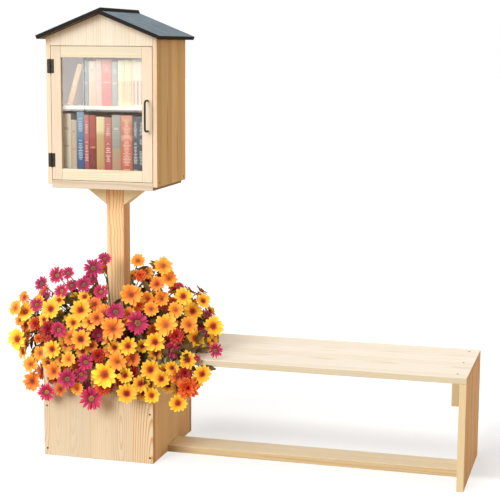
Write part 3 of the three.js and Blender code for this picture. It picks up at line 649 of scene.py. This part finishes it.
# %% [markdown]
# A book is a cover that wraps the spine, and a block of pages set back inside it. Each is built
# at its own size and stood where its solid stands. The spines carry plain bands and rows of
# small soft marks, which say nothing.

# %% Covers and pages
BOARD, PAGES_INSET, SPINE_STEPS, DEEPEST_SPINE = 0.0012, 0.0025, 10, 0.003


def spine_map(tree):
    return add(tree, "ShaderNodeUVMap", uv_map="spine").outputs[0]


def cover(name, stops, mark, marks_from, marks_to, rows=30, mark_share=0.42, columns=1):
    material, tree, shader = new_material(name, 0.55)
    calc = partial(maths, tree)
    scaled = partial(maths, tree, "MULTIPLY_ADD")
    place = spine_map(tree)
    across, up, _ = axes_of(tree, place)
    cloth = clouds(tree, place, 9, 6, 0.7)
    ground = ramp(tree, scaled(cloth, 0.03, up), stops)
    side, step = calc("MULTIPLY", across, columns), calc("MULTIPLY", up, rows)
    column = calc("FLOOR", side)
    luck = luck_of(tree, scaled(column, 57.0, calc("FLOOR", step)))
    length = scaled(luck[0], 0.22, 0.14)
    shown = calc("LESS_THAN", calc("ABSOLUTE", calc("SUBTRACT", calc("FRACT", side), 0.5)), length)
    group_place = scaled(column, 3.7, up)
    groups = add(tree, "ShaderNodeTexNoise", {"W": group_place, "Scale": 7.0}, noise_dimensions="1D")
    in_row = calc("LESS_THAN", calc("FRACT", step), 0.55)
    in_group = calc("LESS_THAN", groups.outputs[0], mark_share)
    above, below = calc("GREATER_THAN", up, marks_from), calc("LESS_THAN", up, marks_to)
    for factor in (in_row, in_group, above, below, 0.72):
        shown = calc("MULTIPLY", shown, factor)
    dress(tree, shader, mixed(tree, shown, ground, linear(mark)), cloth, 0.1, 0.0002)
    return material


def book_mesh(width, depth, height):
    form = bmesh.new()
    uv = form.loops.layers.uv.new("spine")
    sag = min(DEEPEST_SPINE, width * 0.12)
    turns = [i * pi / SPINE_STEPS for i in range(SPINE_STEPS + 1)]
    arc = [(width / 2 - cos(t) * width / 2, sag * (1 - sin(t))) for t in turns]
    outer = [(0.0, depth), *arc, (width, depth)]
    inner = [(min(max(x, BOARD), width - BOARD), y + BOARD) for x, y in arc]
    inner = [(BOARD, depth), *inner, (width - BOARD, depth)]

    def prism(points, z0, z1):
        base, top = ([form.verts.new((x, y, z)) for x, y in points] for z in (z0, z1))
        return base, top, wall(form, base, top)

    base, top, _ = prism(outer + inner[::-1], 0.0, height)
    last = 2 * len(outer) - 1
    for row in (base, top):
        for i in range(len(outer) - 1):
            form.faces.new((row[i], row[i + 1], row[last - 1 - i], row[last - i]))
    back, front = depth - PAGES_INSET, BOARD + sag
    block = [(BOARD, back), (BOARD, front), (width - BOARD, front), (width - BOARD, back)]
    base, top, sides = prism(block, PAGES_INSET, height - PAGES_INSET)
    for face in (*sides, form.faces.new(base[::-1]), form.faces.new(top)):
        face.material_index = 1
    bmesh.ops.recalc_face_normals(form, faces=form.faces)
    for face in form.faces:
        up = 2 if abs(face.normal.z) < 0.5 else 1
        for loop in face.loops:
            loop[uv].uv = (loop.vert.co.x / width, loop.vert.co[up] / height)
    return saved(form, bpy.data.meshes.new("book"))


page_edges, tree, shader = new_material("book_page_edges", 0.85)
fine = add(tree, "ShaderNodeMapping", {"Vector": spine_map(tree), "Scale": (260, 4, 1)}).outputs[0]
sheets = clouds(tree, fine, 1)
dress(tree, shader, ramp(tree, sheets, "0.3 #d9cbb0, 0.7 #f4ead6"), sheets, 0.3, 0.0003)

# Each book: its slot, the cover's colours from foot to head, the marks' colour, where the marks
# start and end, and where they differ the rows of marks, their share and their columns
BOOKS = {
    # lower_01's cover is made near-white to make up for the door frame's shadow on it: painted light
    "lower_01": ("greys", "0 #ece4da, 1 #f2ece4", "#cfc5b8", 0.1, 0.9, 12),
    "lower_02": ("creams", "0 #c7ad9b, 1 #d0bbae", "#b09580", 0.2, 0.85, 14),
    "lower_03": ("blues", "0 #143a72, 0.35 #285592, 0.7 #5580b0, 1 #86a6c6",
                 "#cddcea", 0.3, 0.92, 40, 0.52),
    "lower_04": ("reds", "0 #993948, 0.5 #b95663, 1 #cc8080", "#f0d2cc", 0.15, 0.95, 44, 0.5),
    "lower_05": ("reds", "0 #6a1d20, 0.49 #802a29, 0.5 #9c3b38, 1 #ab5448", "#d8a58a", 0.3, 0.7),
    "lower_06": ("yellows", "0 #c4945c, 0.72 #ccae7e, 0.8 #f0dcae, 1 #f5e8c8",
                 "#7b5632", 0.16, 0.24, 60),
    "lower_07": ("reds", "0 #aa424f, 0.6 #c06167, 1 #cb8c86", "#f3dad3", 0.3, 0.92, 34, 0.5),
    "lower_08": ("greys", "0 #b19a7f, 0.3 #b8927b, 0.5 #b29e83, 0.52 #989a9a, 1 #b3b5b3",
                 "#e0d8ca", 0.55, 0.9, 18),
    "lower_09": ("reds", "0 #c45546, 0.3 #d06757, 0.62 #d87664, 0.64 #e39a86, 0.7 #e39a86, "
                 "0.72 #d87664, 0.88 #e08a76, 1 #e7a996", "#f4e0d3", 0.08, 0.94, 46, 0.58),
    "lower_10": ("blues", "0 #33384a, 1 #525a6e", "#dfe2e6", 0.06, 0.92, 46, 0.56, 2),
    "upper_01": ("creams", "0 #bd8f5c, 1 #cba475", "#e8d9bf", 0.2, 0.8, 14),
    "upper_02": ("greys", "0 #727d89, 1 #949ea9", "#dfe3e4", 0.2, 0.9),
    "upper_03": ("creams", "0 #e2aa90, 0.5 #ecc8b6, 1 #f3dfd3", "#d69a80", 0.15, 0.9),
    "upper_04": ("pinks", "0 #e2aaa4, 0.5 #ebc2bc, 1 #f0d4cf", "#d99a94", 0.15, 0.9),
    "upper_05": ("pinks", "0 #cb5f5d, 0.6 #d87f7a, 1 #e3a5a0", "#f4dfd7", 0.15, 0.9, 26),
    "upper_06": ("greys", "0 #95999e, 1 #b5b9be", "#eef0ef", 0.15, 0.9),
    "upper_07": ("creams", "0 #ecdcb4, 1 #f5edd2", "#d8a87c", 0.1, 0.95, 1, 0.9, 5),
    "upper_08": ("creams", "0 #ead7ae, 1 #f3e7c8", "#e0936f", 0.1, 0.95, 1, 0.9, 4),
    "upper_09": ("pinks", "0 #f0d9cb, 1 #f4e3d5", "#c9505a", 0.04, 0.97, 1, 0.9, 3),
}
LEANING_BOOK, LEAN, LEAN_WIDTH, LEAN_HEIGHT = "upper_01", radians(16.5), 0.022, 0.165
for key, (group, *look_of_cover) in BOOKS.items():
    node = "book_" + key
    low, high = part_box(node)
    width, height = high.x - low.x, high.z - low.z
    stand_at = Matrix.Translation(low)
    if key == LEANING_BOOK:
        width, height = LEAN_WIDTH, LEAN_HEIGHT
        corner = low + Vector((0, 0, width * sin(LEAN)))
        stand_at = Matrix.Translation(corner) @ Matrix.Rotation(LEAN, 4, "Y")
    mesh = book_mesh(width, high.y - low.y, height)
    mesh.transform(stand_at)
    looks = [cover(node + "_cover", *look_of_cover), page_edges]
    piece_from(node + "_bound", mesh, looks, node)
print("books:", len(BOOKS))

# %% [markdown]
# Potting soil fills the planter to 3 cm under the rim. Its block has a fine grid on top, which
# noise pushes up and down into lumps, and a dark, crumbly surface.

# %% Soil
GRID, LUMP_HEIGHT, HIGHEST_LUMP = 44, 0.0055, 0.004
potting_soil = mottled("potting_soil", 0.95, 160, 5, "0.35 #1f140d, 0.55 #3c281a, 0.75 #5d4432", 0.9, 0.002)
low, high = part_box("soil")
form = bmesh.new()
bmesh.ops.create_grid(form, x_segments=GRID, y_segments=GRID, size=0.5)
for vert in form.verts:
    x = low.x + (vert.co.x + 0.5) * (high.x - low.x)
    y = low.y + (vert.co.y + 0.5) * (high.y - low.y)
    rough = noise.fractal(Vector((x * 40, y * 40, 0)), 0.8, 2.1, 4) * LUMP_HEIGHT
    vert.co = (x, y, high.z - HIGHEST_LUMP + min(rough, HIGHEST_LUMP))
border = [e for e in form.edges if e.is_boundary]
skirt = bmesh.ops.extrude_edge_only(form, edges=border)["geom"]
for vert in [g for g in skirt if isinstance(g, bmesh.types.BMVert)]:
    vert.co.z = low.z
bmesh.ops.holes_fill(form, edges=[e for e in form.edges if e.is_boundary])
bmesh.ops.recalc_face_normals(form, faces=form.faces)
lumps = saved(form, bpy.data.meshes.new("soil_lumps"))
piece_from("soil_lumps", lumps, [potting_soil], "soil")
print("soil top at", round(high.z, 3), "m")

# %% [markdown]
# The large heads are yellow daisies with a red eye (Y), apricot ones (O), magenta ones with many
# narrow petals (M) and a few red doubles (R). Those that face the camera were located in the
# photograph, and those at the back and the far sides are guesses. The list gives x, y, z and
# the radius of each in mm.

# %% Where the flower heads are
HEADS = {
    "M": """-34 -193 764 39, -197 -173 724 34, -141 -194 739 26, -288 -122 676 30, -9 -132 794 28,
    -49 -257 708 32, -271 -212 607 28, -135 -308 532 31, -99 -316 339 39, 2 -316 268 45,
    -196 -296 274 36, 30 -276 687 29, 103 -309 618 35, 191 -304 579 44, 317 -257 469 33,
    480 -222 472 28, 200 290 455 37, -14 -331 417 31, -144 -254 678 29, -47 -300 358 28,
    395 -48 574 17, 289 -78 688 17, 21 -281 516 28, 421 -270 446 15, -48 -185 720 29,
    -139 -163 684 25""",
    "Y": """-379 -165 450 45, -168 -300 452 36, -34 -330 507 39, -350 -141 560 37, -182 -276 607 38,
    -42 -307 617 39, 258 -292 506 39, 64 -329 372 49, 149 -316 299 39, 239 -292 395 39,
    243 -292 292 31, 449 -292 392 34, 428 -81 537 42, 387 -186 506 39, 351 -292 270 35,
    158 -322 490 35, 333 -171 668 35, 391 -97 639 30, -262 176 560 37, 18 292 632 41, 96 196 716 36,
    -316 96 500 36, 362 92 560 35, 60 306 480 38, 205 -312 342 33, -60 -222 653 29, -185 -186 627 29,
    -85 -279 559 31, 143 -318 370 30, 286 -300 364 33, 388 -285 442 35, 356 -122 601 37,
    418 -270 356 28""",
    "O": """-316 -180 353 33, -322 -152 275 39, -89 -321 421 29, -389 -157 577 31, 152 -269 681 43,
    99 -330 558 45, 292 -265 570 43, 237 -206 718 29, 227 -104 773 36, 130 -128 792 30,
    319 -224 623 31, 235 -271 631 29, 115 -325 427 35, 30 -321 593 29, -128 262 596 39,
    292 176 590 37, -78 188 722 34, -60 318 400 36, -275 -176 401 30, -1 -300 474 25,
    -161 -300 362 34, -64 -300 298 26, 239 -70 717 33, 158 -103 742 25, 196 -201 656 27,
    243 -172 654 31, 339 -166 470 28, -385 -124 521 25, 322 93 642 31, 374 -225 568 33""",
    "R": """392 -292 333 43, 148 -150 738 24, 156 256 610 38, -278 -185 462 21, 170 -232 631 22""",
}
CROWN, REACH = Vector((35, 0, 470)), Vector((405, 335, 345))


def outward(point):
    share = [(p - c) / r for p, c, r in zip(point, CROWN, REACH)]
    return Vector((share[X], share[Y], max(share[Z], 0.0) + 0.12)).normalized()


print({kind: rows.count(",") + 1 for kind, rows in HEADS.items()})

# %% [markdown]
# One daisy is a ring of petals round a domed eye. Geometry Nodes copies each head's point once
# for every petal, turns each copy further round, and adds chance to its lift, twist and length.

# %% Petals and the ring tree
PETAL_ROWS, PETAL_COLUMNS, CUP, DROOP = 6, 4, 0.18, 0.12


def grid_faces(rows, columns):
    corners = [i * (columns + 1) + j for i in range(rows) for j in range(columns)]
    return [(a, a + columns + 1, a + columns + 2, a + 1) for a in corners]


def smooth_mesh(name, verts, faces, **numbers):
    mesh = bpy.data.meshes.new(name)
    mesh.from_pydata(verts, [], faces)
    for label, values in numbers.items():
        number_points(mesh, label, values)
    mesh.shade_smooth()
    return mesh


def petal_mesh(name, start, width, tip):
    verts, reach, sideways = [], [], []
    for i in range(PETAL_ROWS + 1):
        t = i / PETAL_ROWS
        swell = sin(min(t * 1.15 + 0.18, 1.0) * pi * 0.5) ** 0.8
        half = width * swell * max((1 - t ** tip) ** 0.6, 0.06) * 0.5
        for j in range(PETAL_COLUMNS + 1):
            s = j / PETAL_COLUMNS * 2 - 1
            z = CUP * half * (s * s) * 1.4 - DROOP * t * t + 0.05 * t
            verts.append((start + (1 - start) * t, half * s, z + 0.02 * cos(s * pi) * (1 - t)))
            reach.append(t)
            sideways.append(s)
    return smooth_mesh(name, verts, grid_faces(PETAL_ROWS, PETAL_COLUMNS), reach=reach, sideways=sideways)


petal_ring, given = new_tree("petal_ring", Petal="Object", Count="Int", Lift="Float", Loose="Float",
                             Seed="Int", Finish="Material")
ring_maths = partial(maths, petal_ring)


def chance(low, high, offset):
    seed = ring_maths("ADD", given["Seed"], offset)
    made = add(petal_ring, "FunctionNodeRandomValue", {"Seed": seed}, data_type="FLOAT")
    for into, value in zip([s for s in made.inputs if s.enabled], (low, high)):
        feed(petal_ring, into, value)
    return next(s for s in made.outputs if s.enabled)


copies = add(petal_ring, "GeometryNodeDuplicateElements",
             {"Geometry": given["Geometry"], "Amount": given["Count"]}, domain="POINT").outputs
fewer = ring_maths("MULTIPLY", given["Loose"], -1.0)
step = ring_maths("DIVIDE", copies["Duplicate Index"], given["Count"])
turn = ring_maths("MULTIPLY_ADD", step, tau, chance(fewer, given["Loose"], 1))
spun = ring_maths("ADD", turn, named(petal_ring, "spin"))
lift = ring_maths("ADD", given["Lift"], chance(fewer, given["Loose"], 2))
twist = chance(-0.22, 0.22, 3)
turned = joined(petal_ring, twist, ring_maths("MULTIPLY", lift, -1.0), spun)
length = ring_maths("MULTIPLY", named(petal_ring, "size"), chance(0.88, 1.05, 4))
petals = set_on_points(petal_ring, copies["Geometry"], given["Petal"], turned, length)
end_tree(petal_ring, petals, given["Finish"])
print("ring tree nodes:", len(petal_ring.nodes))

# %% [markdown]
# A petal's colour runs from the eye outwards, with fine lengthwise veins, and every head is a
# shade lighter or darker than its neighbours; heads deep in the crown are darker still, as painted
# shade. The eye is a dome of tiny florets: rough, dark in the middle and brighter at its rim.

# %% Petal and eye materials
def petal_look(name, stops):
    material, tree, shader = new_material(name, 0.62)
    calc = partial(maths, tree)
    scaled = partial(maths, tree, "MULTIPLY_ADD")
    shade = carried(tree, "shade")
    veins = calc("SINE", calc("MULTIPLY", carried(tree, "sideways"), 17.0))
    colour = ramp(tree, scaled(veins, 0.035, carried(tree, "reach")), stops)
    # The shade value gives each head its tone, and darkens heads deep in the crown as painted shade
    petal_tone_and_shade = add(tree, "ShaderNodeHueSaturation", {
        "Hue": scaled(shade, 0.02, 0.492),
        "Value": scaled(shade, 0.34, 0.83), "Color": colour}).outputs[0]
    dress(tree, shader, petal_tone_and_shade, veins, 0.35, 0.0004)
    return material


def eye_look(name, middle, edge):
    material, tree, shader = new_material(name, 0.8)
    florets = add(tree, "ShaderNodeTexVoronoi", {"Vector": places(tree), "Scale": 620.0}).outputs["Distance"]
    lit = maths(tree, "MULTIPLY_ADD", florets, -0.35, carried(tree, "reach"))
    # The shade value also darkens the eyes of heads deep in the crown: painted shade
    eye_tone_and_shade = maths(tree, "MULTIPLY_ADD", carried(tree, "shade"), 0.5, lit)
    dress(tree, shader, ramp(tree, eye_tone_and_shade, f"0.15 {middle}, 0.95 {edge}"), florets, 0.8, 0.001)
    return material


# Sizes are shares of the head's radius. A ring of petals is its lift and its size.
MOST_KINDS = {"start": 0.2, "tip": 5.0, "rings": [(0.24, 1.0)], "dome": 0.3}
KINDS = {
    "Y": {"petals": ("yellow_petals", "0 #a8280f, 0.12 #de4e18, 0.24 #f7941a, 0.38 #ffc01e, 1 #ffdc4c"),
          "eye": ("dark_red_eyes", "#5a1a10", "#c8562a"), "count": 13, "width": 0.46, "tip": 4.0},
    "O": {"petals": ("apricot_petals", "0 #b4380f, 0.18 #e8681c, 0.42 #fa9422, 1 #ffb24a"),
          "eye": ("red_brown_eyes", "#7c3216", "#d0783c"), "count": 14, "width": 0.42},
    "M": {"petals": ("magenta_petals", "0 #5a0a2c, 0.25 #9a1048, 0.6 #bd1d5c, 1 #d43a70"),
          "eye": ("olive_brown_eyes", "#6a4a26", "#b58d52"), "count": 22, "width": 0.25,
          "rings": [(0.3, 1.0)], "dome": 0.28},
    "R": {"petals": ("red_petals", "0 #8a150c, 0.3 #d2330f, 0.7 #f0611a, 1 #ffa63c"),
          "eye": ("wine_eyes", "#2c0a0a", "#7c1d16"), "count": 15, "start": 0.14, "width": 0.36,
          "rings": [(0.2, 1.0), (0.55, 0.8), (0.9, 0.6)], "dome": 0.2},
}
for kind, own in KINDS.items():
    looks = {"petals": petal_look(*own["petals"]), "eye": eye_look(*own["eye"])}
    KINDS[kind] = {**MOST_KINDS, **own, **looks}
print("kinds:", list(KINDS))

# %% [markdown]
# Smaller heads fill the second layer beside the large ones, and more close the depth behind them.
# The second layer and the small red and magenta heads are darker: painted shade of the crown's
# depth. All are placed by chance with a fixed seed, clear of the wood and of the post, and none
# covers a large head.

# %% Plan the flowers
# All in mm, but for the picture's pixels: SAME_SPOT, FIRST_ROW and the two windows on the post
MM = 0.001
HALF_PLANTER, HALF_PLANTER_BACK, PLANTER_TOP, BENCH_START, BENCH_TOP = 262, 275, 445, 225, 465
BACK_STARTS, HIGHEST_SMALL, SAME_SPOT, FIRST_ROW = 60, 640, 11, 304
POST_IN_PICTURE, POST_FOR_LEAVES = (96, 138, 310), (98, 134, 308)
dice = random.Random(11)


def in_picture(at):
    seen_from_eye = at * MM - EYE
    pixels = FOCAL_PIXELS / seen_from_eye.dot(look)
    across, up = seen_from_eye.dot(right) * pixels, seen_from_eye.dot(upward) * pixels
    return FRAME_WIDTH / 2 + across, FRAME_HEIGHT / 2 - up


def distance(at):
    return (at * MM - EYE).length


def hides_post(at, left, right_end, low_end):
    across, down = in_picture(at)
    return left < across < right_end and down < low_end and at.y < BACK_STARTS


def covers_a_head(at, radius):
    across, down = in_picture(at)
    for head, (x, y) in zip(main_heads, main_spots):
        overlaps = hypot(x - across, y - down) < 0.2 * (radius + head["radius"])
        if overlaps and distance(at) < distance(head["at"]) + 0.02:
            return True
    return False


def in_the_wood(at, half_depth):
    in_planter = at.z < PLANTER_TOP and abs(at.x) < HALF_PLANTER and abs(at.y) < half_depth
    return in_planter or (at.x > BENCH_START and at.z < BENCH_TOP and abs(at.y) < HALF_PLANTER)


def thrown(x=(-1, 1), y=(-1, 1), z=(-1, 1)):
    return Vector([dice.uniform(*span) for span in (x, y, z)])


def add_head(kind, at, radius, layer):
    heads.append({"kind": kind, "at": at, "radius": radius, "facing": outward(at), "layer": layer})


heads = []
for kind, rows in HEADS.items():
    for row in rows.split(","):
        *at, radius = map(float, row.split())
        add_head(kind, Vector(at), radius, "main")
main_heads = list(heads)
main_spots = [in_picture(h["at"]) for h in main_heads]


def beside_a_head():
    base = dice.choice(main_heads)
    lateral = thrown()
    lateral -= base["facing"] * lateral.dot(base["facing"])
    at = base["at"] + lateral.normalized() * dice.uniform(34, 78) - base["facing"] * dice.uniform(14, 42)
    too_high = at.z > HIGHEST_SMALL and at.y < BACK_STARTS
    suits = not too_high and not hides_post(at, *POST_IN_PICTURE)

    def pick():
        alike = base["kind"] != "M" and dice.random() < 0.45
        return base["kind"] if alike else dice.choice("YOORRRM")

    return at, dice.uniform(27, 36), suits, pick


def behind_a_head():
    way = thrown(y=(-0.35, 1), z=(-0.2, 0.9)).normalized()
    at = CROWN + Vector(w * r for w, r in zip(way, REACH)) * dice.uniform(0.78, 0.93)
    across, down = in_picture(at)
    behind = any(hypot(x - across, y - down) < SAME_SPOT for x, y in main_spots)
    return at, dice.uniform(27, 38), behind and down >= FIRST_ROW, lambda: dice.choice("YYOOOMMR")


def fill(layer, draw, more, tries, lowest, apart, half_depth=HALF_PLANTER):
    wanted = len(heads) + more
    for _ in range(tries):
        at, radius, suits, pick = draw()
        if suits and at.z >= lowest and not in_the_wood(at, half_depth) and not covers_a_head(at, radius):
            if all((at - h["at"]).length >= apart * (radius + h["radius"]) for h in heads):
                add_head(pick(), at, radius, layer)
        if len(heads) == wanted:
            break


fill("second", beside_a_head, more=150, tries=12000, lowest=285, apart=0.52)
fill("depth", behind_a_head, more=90, tries=6000, lowest=330, apart=0.8, half_depth=HALF_PLANTER_BACK)
TO_CAMERA, TO_BACK = Vector((0.3, -0.95, 0.16)), Vector((0, 0.5, 0.1))
PULLS = {"main": 1.7, "second": 0.75, "depth": 0.1}
for each in heads:
    wobble = thrown() * 0.2
    towards = TO_CAMERA * PULLS[each["layer"]] if each["at"].y < BACK_STARTS else TO_BACK
    each["facing"] = (each["facing"] + wobble + towards).normalized()
    each["spin"] = dice.uniform(0, tau)
    # The second layer and the small red and magenta heads get a lower shade: painted shade
    each["shade"] = dice.uniform(-0.6, 0.4) if each["layer"] == "second" else dice.random()
    if each["kind"] in "MR" and each["layer"] != "main":
        each["shade"] -= 0.7
print("heads:", len(main_heads), "large,", len(heads) - len(main_heads), "small")

# %% [markdown]
# A stem leaves the soil near the middle, arches and ends under its head. Each is a chain of
# edges that Geometry Nodes turns into a thin round tube. Leaves sit along it by chance.

# %% Stems, leaves and petals become meshes
SOIL_TOP, ROOT_DEPTH, RIM, ARCH_TOP, STEM_STEPS, STEM_RADIUS = 407, 6, 437, 529, 12, 0.0022
LEAF_ROWS, LEAF_COLUMNS, LEAVES_ON_A_STEM, LEAF_RIM = 7, 4, 6, 455
EYE_RINGS, EYE_SIDES, EYE_RISE = 5, 14, 0.42

stem_tree, given = new_tree("stem_tubes", Radius="Float", Finish="Material")
lines = add(stem_tree, "GeometryNodeMeshToCurve", {0: given["Geometry"]}).outputs[0]
ring = add(stem_tree, "GeometryNodeCurvePrimitiveCircle", {"Resolution": 6, "Radius": given["Radius"]})
tubes = add(stem_tree, "GeometryNodeCurveToMesh",
            {"Curve": lines, "Profile Curve": ring.outputs[0], "Fill Caps": True})
end_tree(stem_tree, tubes.outputs[0], given["Finish"])


def stem_path(head):
    at = head["at"] - head["facing"] * 3
    root = Vector((at.x * 0.12 + 7, at.y * 0.12 + (-60 if at.y < 0 else 90), SOIL_TOP - ROOT_DEPTH))
    share, top = 0.45, SOIL_TOP + 0.6 * (at.z - SOIL_TOP)
    if at.z < ARCH_TOP:
        share, top = 0.8, ARCH_TOP + 0.62 * max(RIM - at.z, 0)
    middle = Vector((root.x + (at.x - root.x) * share, root.y + (at.y - root.y) * share, top))
    steps = [i / STEM_STEPS for i in range(STEM_STEPS + 1)]
    return [root * (1 - t) ** 2 + middle * 2 * t * (1 - t) + at * t * t for t in steps]


def stem_lines(paths):
    chain = bpy.data.meshes.new("stem_lines")
    starts = [k * (STEM_STEPS + 1) for k in range(len(paths))]
    edges = [(start + i, start + i + 1) for start in starts for i in range(STEM_STEPS)]
    chain.from_pydata([p * MM for path in paths for p in path], edges, [])
    return chain


def leaf_mesh():
    verts = []
    for i in range(LEAF_ROWS + 1):
        t = i / LEAF_ROWS
        half = 0.17 * sin(pi * min(t * 0.94 + 0.03, 1.0)) ** 0.7 * (1 + 0.12 * sin(t * 21))
        for s in (-1, -0.5, 0, 0.5, 1):
            verts.append((half * s, t * 0.98, 0.16 * t - 0.22 * t * t + 0.3 * abs(half * s)))
    faces = [(a, d, c, b) for a, b, c, d in grid_faces(LEAF_ROWS, LEAF_COLUMNS)]
    return smooth_mesh("leaf_blade", verts, faces)


def leaves_along(head, path):
    blades = []
    for _ in range(LEAVES_ON_A_STEM):
        at = path[int(dice.uniform(0.35, 0.93) * STEM_STEPS)]
        way = thrown(z=(-0.4, 0.6)) + head["facing"] * 0.7
        in_planter = at.z < LEAF_RIM and max(abs(at.x), abs(at.y)) < HALF_PLANTER
        if in_planter or hides_post(at, *POST_FOR_LEAVES):
            continue
        blades.append({"at": at * MM, "facing": way.normalized(), "spin": dice.uniform(0, tau),
                       "size": dice.uniform(0.042, 0.07)})
    return blades


def eye_mesh(radius):
    verts, reach = [(0, 0, radius * EYE_RISE)], [0.0]
    for i in range(1, EYE_RINGS + 1):
        a = i / EYE_RINGS * pi / 2
        for j in range(EYE_SIDES):
            t = (j + 0.5 * (i % 2)) * tau / EYE_SIDES
            bump = 1 + 0.07 * ((i + j) % 2)
            out, up = radius * sin(a) * bump, radius * EYE_RISE * cos(a) * bump
            verts.append((out * cos(t), out * sin(t), up + 0.01))
            reach.append(i / EYE_RINGS)
    faces = [(0, 1 + j, 1 + (j + 1) % EYE_SIDES) for j in range(EYE_SIDES)]
    for start in range(1, 1 + (EYE_RINGS - 1) * EYE_SIDES, EYE_SIDES):
        for j in range(EYE_SIDES):
            a, b = start + j, start + (j + 1) % EYE_SIDES
            faces.append((a, a + EYE_SIDES, b + EYE_SIDES, b))
    return smooth_mesh("floret_dome", verts, faces, reach=reach)


leaf_green = mottled("olive_leaves", 0.6, 55, 4, "0.3 #30180a, 0.55 #5e4a1a, 0.75 #6a1e14", 0.3, 0.0006)
stem_green = mottled("daisy_stems", 0.6, 55, 4, "0.3 #4b5524, 0.55 #70783a, 0.75 #7c8440", 0.3, 0.0006)
leaf_shape = bpy.data.objects.new("leaf_blade", leaf_mesh())
made = []


def flower_piece(what, tree, base, finish, **inputs):
    mesh = grown(what, tree, base, Finish=finish, **inputs)
    name = f"{what}_{part}_{len(made)}"
    made.append(piece_from(name, mesh, [finish], "daisies_" + part))
    return len(mesh.polygons)


def part_of(at):
    return "back" if at.y > BACK_STARTS else "left" if at.x < 0 else "right"


faces = 0
for part in ("left", "right", "back"):
    here = [h for h in heads if part_of(h["at"]) == part]
    made.clear()
    paths = [stem_path(h) for h in here]
    faces += flower_piece("stems", stem_tree, stem_lines(paths), stem_green, Radius=STEM_RADIUS)
    blades = points_mesh("leaf_points", [b for h, path in zip(here, paths) for b in leaves_along(h, path)])
    faces += flower_piece("leaves", shapes_on_points, blades, leaf_green, Shape=leaf_shape)
    for kind, own in KINDS.items():
        points = [dict(h, at=h["at"] * MM, size=h["radius"] * 0.00112) for h in here if h["kind"] == kind]
        if not points:
            continue
        petal = petal_mesh("petal_" + kind, own["start"], own["width"], own["tip"])
        petal = bpy.data.objects.new("petal", petal)
        for number, (lift, scale) in enumerate(own["rings"]):
            ring = [dict(p, size=p["size"] * scale, spin=p["spin"] + number * 0.3) for p in points]
            centres = points_mesh("head_points", ring)
            faces += flower_piece("petals", petal_ring, centres, own["petals"], Petal=petal,
                                  Count=own["count"], Lift=lift, Loose=0.12, Seed=5 + number)
        eye = bpy.data.objects.new("eye", eye_mesh(own["dome"]))
        centres = points_mesh("eye_points", points)
        faces += flower_piece("eyes", shapes_on_points, centres, own["eye"], Shape=eye)
print("flower faces:", faces)
